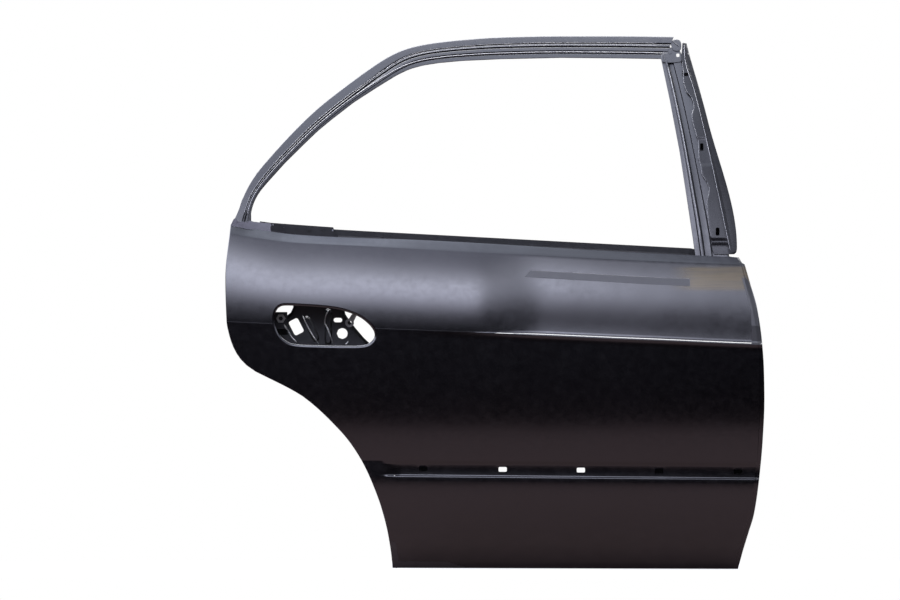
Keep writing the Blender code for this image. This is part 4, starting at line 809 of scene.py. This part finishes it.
def outer_section(edges):
    header = ease((edges[0][0] - SLOPE_END_PX) / (HEADER_START_PX - SLOPE_END_PX))
    return [
        (mix(slope[0], level[0], header), -FRAME_STAND * mix(slope[1], level[1], header))
        for slope, level in zip(SLOPE_SECTION, HEADER_SECTION)
    ]


def sash_section(_edges):
    return [(share, -FRAME_STAND * stand) for share, stand in SASH_SECTION_SHARES]


BRACKET_HOLES_PX = (
    ((686.8, 73.9), (4.3, 3.8)), ((702.2, 146.8), (3.4, 7.6)), ((717.9, 231.5), (3.8, 8.0)),
)


def glass_cuts(places_px, low, high):
    """Slots drawn through the plane of the glass, between two offsets from it."""
    cuts = []
    for pixel, size_px in places_px:
        x, z = place(pixel)
        size = [side * METRES_A_PIXEL for side in size_px]
        cuts.append((slot((x, z), size, min(size) / 3), glass_y(z) + low, glass_y(z) + high))
    return cuts


frame_sweep = sweep("fine_upper_frame", FRAME_EDGES_PX, outer_section, FRAME_STATIONS)
dressed(shaded(frame_sweep, 40), frame_primer, "upper_frame")
sash_sweep = sweep("fine_front_sash", SASH_EDGES_PX, sash_section, SASH_STATIONS)
cut(sash_sweep, glass_cuts(BRACKET_HOLES_PX[1:], -2 * FRAME_STAND, FRAME_STAND / 12))
dressed(shaded(sash_sweep, 40), frame_primer, "front_sash")


# Pillar bracket, from the same edges as the solid

BRACKET_REAR_PX = (
    (683.2, 42.2), (682.6, 50.0), (681.7, 58.3), (683.3, 64.6), (684.0, 78.9), (687.2, 91.0),
    (691.9, 96.5), (694.3, 106.5), (692.3, 115.0), (696.3, 133.4), (698.6, 141.0), (699.2, 159.0),
    (700.8, 165.0), (702.0, 173.0), (707.6, 183.2), (709.3, 190.0), (707.0, 203.0),
    (708.2, 220.0), (710.8, 238.0), (711.6, 242.5), (712.4, 250.5), (714.0, 254.2),
)
BRACKET_FOLD_PX = ((685.2, 42.2), (685.9, 56.7), (695.2, 90.0), (702.7, 119.5), (729.9, 246.1),
                   (731.6, 254.2))
BRACKET_FRONT_PX = (
    (687.4, 42.2), (690.5, 54.4), (700.6, 90.0), (708.5, 120.0), (737.3, 247.2), (736.7, 252.0),
    (734.2, 254.4),
)
BRACKET_NOTCH_PX = ((691.2, 52.6), (4.8, 2.0))
BRACKET_ROWS = 150
BRACKET_STAND = FRAME_STAND * SASH_SECTION_SHARES[2][1] + SEAM_GAP + FRAME_GAUGE + 0.0055
BRACKET_RETURN, BRACKET_FOLD_DROP, BRACKET_EDGE_DROP = 0.011, 0.0030, 0.0015
# (first row, last row, drop) of each pressed step, in pixels and metres
BRACKET_STEPS_PX = ((137.0, 165.5, 0.0015), (238.2, 300.0, 0.0018), (243.0, 300.0, 0.0016))
STEP_RISE_PX = 2.0


def bracket_drop(row_px):
    drop = 0.0
    for first, last, depth in BRACKET_STEPS_PX:
        drop += depth * ease((row_px - first) / STEP_RISE_PX) * ease((last - row_px) / STEP_RISE_PX)
    return drop


def upright_curve(points_px):
    """The pixel column of an upright edge by its row."""
    return curve_of([(y, x) for x, y in points_px])


def make_bracket():
    rear, fold, front = map(upright_curve, (BRACKET_REAR_PX, BRACKET_FOLD_PX, BRACKET_FRONT_PX))
    grid = []
    for step in range(BRACKET_ROWS + 1):
        row_px = mix(BRACKET_REAR_PX[0][1], BRACKET_REAR_PX[-1][1], step / BRACKET_ROWS)
        z, drop = above(row_px), bracket_drop(row_px)
        rear_px, fold_px, front_px = rear(row_px), fold(row_px), front(row_px)
        strip_px = front_px - fold_px
        columns = (
            (rear_px, drop + BRACKET_EDGE_DROP), (rear_px + 0.5, drop + BRACKET_EDGE_DROP / 4),
            (mix(rear_px, fold_px, 0.15), drop), (mix(rear_px, fold_px, 0.8), drop),
            (fold_px - 0.6, 0.0), (fold_px, 0.0004),
            (fold_px + strip_px * 0.22, BRACKET_FOLD_DROP),
            (fold_px + strip_px * 0.30, BRACKET_FOLD_DROP),
            (front_px - 0.8, BRACKET_FOLD_DROP * 1.2), (front_px - 0.2, BRACKET_FOLD_DROP * 1.5),
            (front_px, BRACKET_RETURN),
        )
        y = glass_y(z) - BRACKET_STAND
        grid.append([Vector((across(px), y + fall, z)) for px, fall in columns])
    bracket = turned_out(mesh_object("fine_bracket", *loft(grid, closed=False)), outboard=True)
    thicken(bracket, FRAME_GAUGE).modifiers["gauge"].use_even_offset = False
    applied(bracket)
    openings = [*BRACKET_HOLES_PX, BRACKET_NOTCH_PX]
    cut(bracket, glass_cuts(openings, -3 * FRAME_STAND, -FRAME_STAND / 2))
    return dressed(shaded(bracket, 45), bracket_primer, "pillar_bracket")


make_bracket()


# The corners of the frame

CORNER_TAB_PX = (
    (230.9, 224.3), (232.2, 221.6), (233.6, 218.9), (234.8, 218.3), (236.5, 219.2), (238.0, 221.2),
    (240.2, 221.8), (243.0, 221.3), (246.5, 222.4), (249.6, 220.4), (253.4, 221.6), (262.0, 222.6),
    (270.6, 223.2), (271.4, 225.2), (270.2, 227.2), (271.0, 232.5), (262.0, 231.5), (247.4, 229.2),
    (240.0, 227.5), (232.0, 226.4),
)
TAB_DEPTH, TAB_WAVE, TAB_WAVE_TURN = 0.0440, 0.0012, 2.1
NUBS_PX = ((272.6, 224.6), (283.2, 226.7), (308.4, 228.9), (322.8, 229.6), (332.6, 230.2))
NUB_HEIGHT_PX, NUB_RADIUS, NUB_DEPTH = 1.9, 0.0013, 0.1200
CAP_OUTLINE_PX = (
    (671.6, 42.2), (674.0, 39.2), (677.6, 38.4), (680.6, 39.4), (682.0, 42.2), (682.2, 46.0),
    (681.2, 49.2), (678.4, 50.2), (674.8, 49.6), (672.8, 46.8),
)
CAP_RIB_PX, CAP_RIB_STAND, CAP_RIB_RADIUS = ((673.7, 40.4), (679.4, 45.2)), 0.0011, 0.0010
GUSSET_OUTLINE_PX = (
    (661.9, 59.4), (662.0, 55.4), (663.2, 51.6), (666.0, 48.4), (669.6, 46.6), (673.6, 46.4),
    (677.0, 47.4), (680.6, 49.8), (682.4, 54.0), (684.0, 59.8), (678.0, 61.4), (670.0, 61.8),
    (664.0, 61.2),
)
CORNER_HOLE_PX = ((678.7, 54.4), (3.2, 3.4))
KNOB_PX, KNOB_SIZE_PX, KNOB_DOME = (670.8, 51.2), (1.9, 2.1), 0.0007
GUSSET_RIB_PX, GUSSET_RIB_STAND, GUSSET_RIB_RADIUS = ((663.9, 53.0), (666.4, 61.6)), 0.0012, 0.0011
GUSSET_STAND, CAP_STAND, CORNER_DOME = 0.0084, 0.0100, 0.0005
CAP_GAUGE, CAP_DOME = 0.004, 0.0008


def domed(name, outline_px, stand, gauge, dome, count=40):
    """A pressed plate parallel to the glass, with a rounded edge."""
    outline = rounded([place(pixel) for pixel in outline_px], count)
    centre = sum((Vector(point) for point in outline), Vector((0, 0))) / count
    loops = [[Vector((x, glass_y(z) - stand + gauge, z)) for x, z in outline]]
    for share, rise in ((1.0, 0.0), (0.985, 0.6), (0.955, 0.95), (0.90, 1.0), (0.5, 1.0)):
        loops.append([
            Vector((px, glass_y(pz) - stand - dome * rise, pz))
            for px, pz in (Vector(point).lerp(centre, 1 - share) for point in outline)
        ])
    return turned_out(mesh_object(name, *loft(loops, caps=True)))


def rod_between(name, start_px, end_px, stand, radius, steps=10):
    """A round bar along a line parallel to the glass."""
    start, end = (Vector((x, glass_y(z) - stand, z)) for x, z in map(place, (start_px, end_px)))
    along = (end - start).normalized()
    side = along.cross(Vector((0, -1, 0))).normalized()
    out = side.cross(along)
    loops = []
    for share, size in ((0.0, 0.5), (0.06, 1.0), (0.94, 1.0), (1.0, 0.5)):
        spot = start.lerp(end, share)
        loops.append([
            spot + (side * math.cos(a) + out * math.sin(a)) * radius * size
            for a in (2 * math.pi * step / steps for step in range(steps))
        ])
    return turned_out(mesh_object(name, *loft(loops, caps=True)))


def make_corner_tab():
    outline = [place(pixel) for pixel in CORNER_TAB_PX]
    loops = [
        [
            Vector((x, inboard(TAB_DEPTH) + TAB_WAVE * math.sin(i * TAB_WAVE_TURN) + step, z))
            for i, (x, z) in enumerate(outline)
        ]
        for step in (0.0, FRAME_GAUGE)
    ]
    tab = turned_out(mesh_object("belt_corner_tab", *loft(loops, caps=True)))
    dressed(shaded(tab), sealer_and_highlight_primer)
    # The nubs take the pale sealer primer: painted highlight on a dark bracket
    for index, (px, py) in enumerate(NUBS_PX, 1):
        half = NUB_HEIGHT_PX / 2
        nub = rod_between(f"belt_nub_{index}", (px, py - half), (px, py + half), 0.0, NUB_RADIUS)
        for vert in nub.data.vertices:
            vert.co.y += inboard(NUB_DEPTH) - glass_y(above(py))
        dressed(shaded(nub), sealer_and_highlight_primer)


def make_top_corner():
    gusset = domed("fine_corner_gusset", GUSSET_OUTLINE_PX, GUSSET_STAND, FRAME_GAUGE, CORNER_DOME)
    cut(gusset, glass_cuts([CORNER_HOLE_PX], -2 * FRAME_STAND, 0.0))
    knob = [
        (KNOB_PX[0] + KNOB_SIZE_PX[0] * math.cos(a), KNOB_PX[1] + KNOB_SIZE_PX[1] * math.sin(a))
        for a in (0, 1.05, 2.09, 3.14, 4.19, 5.24)
    ]
    joined(gusset, domed("knob", knob, GUSSET_STAND + CORNER_DOME, FRAME_GAUGE, KNOB_DOME, 20))
    stand = GUSSET_STAND + GUSSET_RIB_STAND
    joined(gusset, rod_between("bead", *GUSSET_RIB_PX, stand, GUSSET_RIB_RADIUS))
    dressed(shaded(gusset, 40), frame_primer, "corner_gusset")
    cap = domed("fine_corner_cap", CAP_OUTLINE_PX, CAP_STAND, CAP_GAUGE, CAP_DOME)
    joined(cap, rod_between("rib", *CAP_RIB_PX, CAP_STAND + CAP_RIB_STAND, CAP_RIB_RADIUS))
    dressed(shaded(cap, 40), frame_primer, "corner_cap")


make_corner_tab()
make_top_corner()


# Rolled beads and pressed crests, which catch the light as thin lines, made brighter by a lighter,
# more reflective copy of the primer: painted highlight

# (name, share and stand on the slope, share and stand on the header, radius)
FRAME_BEADS = (
    ("outer_bead", 0.483, 0.985, 0.405, 0.925, 0.0004),
    ("middle_bead", 0.605, 0.955, 0.29, 0.96, 0.0003),
    ("inner_bead", 0.725, 0.84, 0.725, 0.76, 0.0009),
)
SASH_BEAD, SASH_BEAD_RADIUS = (0.775, 0.86), 0.0006
# First and last row of the beads on the bracket, in pixels
FOLD_ROWS_PX, BRACKET_EDGE_ROWS_PX = (44.0, 250.0), (62.0, 236.0)
FOLD_RADIUS, BRACKET_EDGE_RADIUS, BEAD_INSET_PX = 0.00045, 0.0003, 0.3
HANDLE_RIBS_PX = (
    ((302.1, 315.3), (305.6, 323.0), (310.6, 332.6), (315.0, 339.4), (318.6, 344.0)),
    ((283.7, 324.8), (287.2, 330.4), (291.2, 337.0), (296.4, 342.4)),
    (
        (328.5, 309.5), (325.6, 316.0), (324.5, 322.5), (327.4, 329.0), (330.2, 336.6),
        (332.7, 343.6),
    ),
    ((345.3, 344.7), (348.4, 341.3)),
)
HANDLE_RIB_RADIUS, HANDLE_RIB_STEPS, RIM_STAND, RIM_GROWTH = 0.0014, 16, 0.0012, 1.25
ROUND_HOLE_PX, ROUND_HOLE_RADIUS_PX = (342.0, 333.6), 5.35


def bead(name, path, radius, material=crest_highlight_primer, steps=8):
    """A round bead along a path of points, thinner at its ends."""
    loops = []
    for i, spot in enumerate(path):
        along = (path[min(i + 1, len(path) - 1)] - path[max(i - 1, 0)]).normalized()
        side = along.cross(Vector((0, -1, 0))).normalized()
        out = side.cross(along)
        size = radius * (0.4 if i in (0, len(path) - 1) else 1.0)
        loops.append([
            spot + (side * math.cos(a) + out * math.sin(a)) * size
            for a in (2 * math.pi * step / steps for step in range(steps))
        ])
    obj = turned_out(mesh_object(name, *loft(loops, caps=True)))
    return dressed(shaded(obj, 60), material)


def on_glass(px, py, stand):
    x, z = place((px, py))
    return Vector((x, glass_y(z) - stand, z))


def tree_of(*names):
    """The surface of CAD nodes, for rays."""
    points, faces = [], []
    for name in names:
        obj, start = bpy.data.objects[name], len(points)
        points += [obj.matrix_world @ vert.co for vert in obj.data.vertices]
        faces += [[start + i for i in face.vertices] for face in obj.data.polygons]
    return BVHTree.FromPolygons(points, faces)


inside_tree = tree_of("inner_panel", "handle_boss_bracket")


def behind_handle(x, z):
    hit = inside_tree.ray_cast(Vector((x, inboard(0.0), z)), Vector((0, 1, 0)))[0]
    return hit.y if hit else inboard(FACE_DEPTH)


def make_beads():
    places = stations(FRAME_EDGES_PX, FRAME_STATIONS)[3:-4]
    for name, slope_share, slope_stand, level_share, level_stand, radius in FRAME_BEADS:
        path = []
        for (x0, y0), (x1, y1) in places:
            header = ease((x0 - SLOPE_END_PX) / (HEADER_START_PX - SLOPE_END_PX))
            share = mix(slope_share, level_share, header)
            stand = FRAME_STAND * mix(slope_stand, level_stand, header)
            path.append(on_glass(mix(x0, x1, share), mix(y0, y1, share), stand))
        bead(name, path, radius)
    share, stand = SASH_BEAD
    bead("sash_bead", [
        on_glass(mix(x0, x1, share), mix(y0, y1, share), FRAME_STAND * stand)
        for (x0, y0), (x1, y1) in stations(SASH_EDGES_PX, SASH_STATIONS)[1:29]
    ], SASH_BEAD_RADIUS)
    fold, rear = upright_curve(BRACKET_FOLD_PX), upright_curve(BRACKET_REAR_PX)
    bead("bracket_fold", [
        on_glass(fold(row) - BEAD_INSET_PX, row, BRACKET_STAND)
        for row in (mix(*FOLD_ROWS_PX, i / 80) for i in range(81))
    ], FOLD_RADIUS)
    stand = BRACKET_STAND - BRACKET_EDGE_DROP / 2
    bead("bracket_edge", [
        on_glass(rear(row) + BEAD_INSET_PX, row, stand - bracket_drop(row))
        for row in (mix(*BRACKET_EDGE_ROWS_PX, i / 150) for i in range(151))
    ], BRACKET_EDGE_RADIUS)


def make_handle_ribs():
    for index, points_px in enumerate(HANDLE_RIBS_PX, 1):
        points_px = sorted(points_px, key=lambda pixel: pixel[1])
        rib = upright_curve(points_px)
        path = []
        for i in range(HANDLE_RIB_STEPS + 1):
            row = mix(points_px[0][1], points_px[-1][1], i / HANDLE_RIB_STEPS)
            x, z = place((rib(row), row))
            path.append(Vector((x, behind_handle(x, z), z)))
        # Bright metal on ribs that are black primer: painted highlight
        bead(f"handle_rib_{index}", path, HANDLE_RIB_RADIUS, highlight_metal)


def make_hole_rim():
    centre, size = place(ROUND_HOLE_PX), 2 * ROUND_HOLE_RADIUS_PX * METRES_A_PIXEL
    corners = ((1, RIM_STAND), (1, 0.0), (RIM_GROWTH, 0.0), (RIM_GROWTH, RIM_STAND), (1, RIM_STAND))
    loops = [
        [
            Vector((x, inboard(FACE_DEPTH) - stand, z))
            for x, z in around(centre, (size * growth, size * growth), 48)
        ]
        for growth, stand in corners
    ]
    ring = turned_out(mesh_object("round_hole_rim", *loft(loops)))
    dressed(shaded(ring), inner_primer)


make_beads()
make_handle_ribs()
make_hole_rim()

SHADE_PLATE_HALF, SHADE_PLATE_STAND_SHARE = 0.008, 0.72


def make_painted_shade_plate():
    """A dark plate behind the bracket's square hole: painted shade for the shadowed inside of the
    pillar.
    """
    x, z = place(BRACKET_HOLES_PX[0][0])
    y = glass_y(z) - FRAME_STAND * SHADE_PLATE_STAND_SHARE
    corners = ((-1, -1), (1, -1), (1, 1), (-1, 1))
    loops = [
        [Vector((x + a * SHADE_PLATE_HALF, y + depth, z + b * SHADE_PLATE_HALF)) for a, b in corners]
        for depth in (0.0, FRAME_GAUGE)
    ]
    # Dark skin primer on a plate where there is only shade: painted shade
    dressed(turned_out(mesh_object("hole_backing", *loft(loops, caps=True))), skin_primer)


make_painted_shade_plate()


# Studio

FLOOR_REACH, FLOOR_FADE_START, FLOOR_FADE_END, FLOOR_GLOW_SHARE = 2.0, 0.8, 1.8, 0.7
GROUND_DARK, GROUND_LIGHT = (0.15, 0.108, 0.103), (0.17, 0.122, 0.117)


def make_floor():
    """A floor that is pale to the camera and brown in reflections, and fades out to white."""
    low = cad_box[0].z - 0.001
    middle = (cad_box[0] + cad_box[1]) / 2
    floor = mesh_object("floor", [(-1, -1, 0), (1, -1, 0), (1, 1, 0), (-1, 1, 0)], [(0, 1, 2, 3)])
    floor.scale = (FLOOR_REACH, FLOOR_REACH, 1)
    floor.location = (middle.x, middle.y, low)
    material, tree, shader = node_material("floor")
    spot = add(tree, "ShaderNodeTexCoord").outputs["Object"]
    specks = noise(tree, spot, Scale=60.0, Detail=6.0)
    ground = ramp(tree, specks, [(0.3, GROUND_DARK), (0.7, GROUND_LIGHT)])
    pale = ramp(tree, specks, [(0.3, grey(0.76)), (0.7, grey(0.80))])
    path = add(tree, "ShaderNodeLightPath")
    colour = add(tree, "ShaderNodeMix", data_type="RGBA")
    tree.links.new(path.outputs["Is Camera Ray"], colour.inputs["Factor"])
    tree.links.new(ground.outputs["Color"], colour.inputs[MIX_A])
    tree.links.new(pale.outputs["Color"], colour.inputs[MIX_B])
    tree.links.new(colour.outputs[MIX_RESULT], shader.inputs["Base Color"])
    shader.inputs["Roughness"].default_value = 0.9
    shader.inputs["Specular IOR Level"].default_value = 0.0
    glow = add(tree, "ShaderNodeEmission", Color=(1, 1, 1, 1), Strength=1.0)
    away = add(tree, "ShaderNodeVectorMath", operation="LENGTH")
    tree.links.new(spot, away.inputs[0])
    fade = add(tree, "ShaderNodeMapRange")
    fade.inputs["From Min"].default_value = FLOOR_FADE_START / FLOOR_REACH
    fade.inputs["From Max"].default_value = FLOOR_FADE_END / FLOOR_REACH
    fade.inputs["To Min"].default_value = FLOOR_GLOW_SHARE
    fade.inputs["To Max"].default_value = 1.0
    tree.links.new(away.outputs["Value"], fade.inputs["Value"])
    share = add(tree, "ShaderNodeMath", operation="MULTIPLY")
    tree.links.new(path.outputs["Is Camera Ray"], share.inputs[0])
    tree.links.new(fade.outputs["Result"], share.inputs[1])
    blend = add(tree, "ShaderNodeMixShader")
    tree.links.new(share.outputs[0], blend.inputs[0])
    tree.links.new(shader.outputs[0], blend.inputs[1])
    tree.links.new(glow.outputs[0], blend.inputs[2])
    tree.links.new(blend.outputs[0], tree.nodes["Material Output"].inputs["Surface"])
    floor.data.materials.append(material)


# The room's light by the sine of its height above the horizon
ROOM_PEAK, ROOM_STRENGTH = 12.0, 7.0
ROOM_STOPS = (
    (-1.00, (0.25, 0.18, 0.17)), (-0.11, (0.05, 0.04, 0.05)), (0.03, (0.05, 0.05, 0.07)),
    (0.12, (0.42, 0.43, 0.54)), (0.20, (0.95, 0.97, 1.24)), (0.28, (4.1, 4.2, 5.3)),
    (0.335, (8.2, 8.5, 10.6)), (0.41, (9.3, 9.6, 11.8)), (0.46, (5.2, 5.4, 6.6)),
    (0.52, (2.3, 2.4, 3.1)), (0.60, (1.9, 2.0, 2.6)), (0.72, (4.9, 5.3, 6.5)),
    (0.81, (3.0, 3.2, 4.2)), (1.00, (3.0, 3.2, 4.2)),
)
# The lit side of the room ends a little past the front of the door
ROOM_END, ROOM_END_SHARE = (0.040, 0.072), 0.30
# The overhead strip: (y, z) of its place and of what it points at, then its size and power
OVERHEAD_SPOT, OVERHEAD_TARGET = (-0.15, 2.9), (-0.05, 0.0)
OVERHEAD_SIZE, OVERHEAD_POWER = (5.0, 0.8), 160
SENSOR_WIDTH, CLIP_START, CLIP_END = 18.0, 1.0, 100.0


def make_world():
    world = bpy.data.worlds.new("studio")
    scene.world = world
    world.use_nodes = True
    tree = world.node_tree
    tree.nodes.clear()
    output = add(tree, "ShaderNodeOutputWorld")
    white = add(tree, "ShaderNodeBackground", Color=(1, 1, 1, 1), Strength=1.0)
    room = add(tree, "ShaderNodeBackground", Strength=ROOM_STRENGTH)
    split = add(tree, "ShaderNodeSeparateXYZ")
    tree.links.new(add(tree, "ShaderNodeTexCoord").outputs["Generated"], split.inputs[0])
    height = add(tree, "ShaderNodeMath", operation="MULTIPLY_ADD")
    height.inputs[1].default_value = height.inputs[2].default_value = 0.5
    tree.links.new(split.outputs["Z"], height.inputs[0])
    end = add(tree, "ShaderNodeMapRange", interpolation_type="SMOOTHSTEP")
    end.inputs["From Min"].default_value, end.inputs["From Max"].default_value = ROOM_END
    end.inputs["To Min"].default_value = ROOM_STRENGTH
    end.inputs["To Max"].default_value = ROOM_STRENGTH * ROOM_END_SHARE
    tree.links.new(split.outputs["X"], end.inputs["Value"])
    tree.links.new(end.outputs["Result"], room.inputs["Strength"])
    stops = [
        ((sine + 1) / 2, tuple(level / ROOM_PEAK for level in colour))
        for sine, colour in ROOM_STOPS
    ]
    levels = ramp(tree, height.outputs[0], stops)
    tree.links.new(levels.outputs["Color"], room.inputs["Color"])
    path = add(tree, "ShaderNodeLightPath")
    blend = add(tree, "ShaderNodeMixShader")
    tree.links.new(path.outputs["Is Camera Ray"], blend.inputs[0])
    tree.links.new(room.outputs[0], blend.inputs[1])
    tree.links.new(white.outputs[0], blend.inputs[2])
    tree.links.new(blend.outputs[0], output.inputs["Surface"])


def make_overhead():
    """A strip light above the door, across its whole length."""
    data = bpy.data.lights.new("overhead", "AREA")
    data.shape = "RECTANGLE"
    data.size, data.size_y = OVERHEAD_SIZE
    data.energy = OVERHEAD_POWER
    lamp = bpy.data.objects.new("overhead", data)
    scene.collection.objects.link(lamp)
    x = (cad_box[0].x + cad_box[1].x) / 2
    lamp.location = (x, *OVERHEAD_SPOT)
    lamp.rotation_mode = "QUATERNION"
    away = Vector((x, *OVERHEAD_TARGET)) - Vector((x, *OVERHEAD_SPOT))
    lamp.rotation_quaternion = away.to_track_quat("-Z", "Y")


def make_camera():
    data = bpy.data.cameras.new("camera")
    camera = bpy.data.objects.new("camera", data)
    scene.collection.objects.link(camera)
    scene.camera = camera
    data.sensor_width = SENSOR_WIDTH
    data.lens = data.sensor_width * CAMERA_DISTANCE / (IMAGE_WIDTH * METRES_A_PIXEL)
    data.clip_start, data.clip_end = CLIP_START, CLIP_END
    x, z = place((IMAGE_WIDTH / 2, IMAGE_HEIGHT / 2))
    camera.location = (x, inboard(FRAME_STAND) - CAMERA_DISTANCE, z)
    camera.rotation_euler = (math.radians(90), 0, 0)


make_floor()
make_world()
make_overhead()
make_camera()
scene.view_settings.view_transform = "Standard"
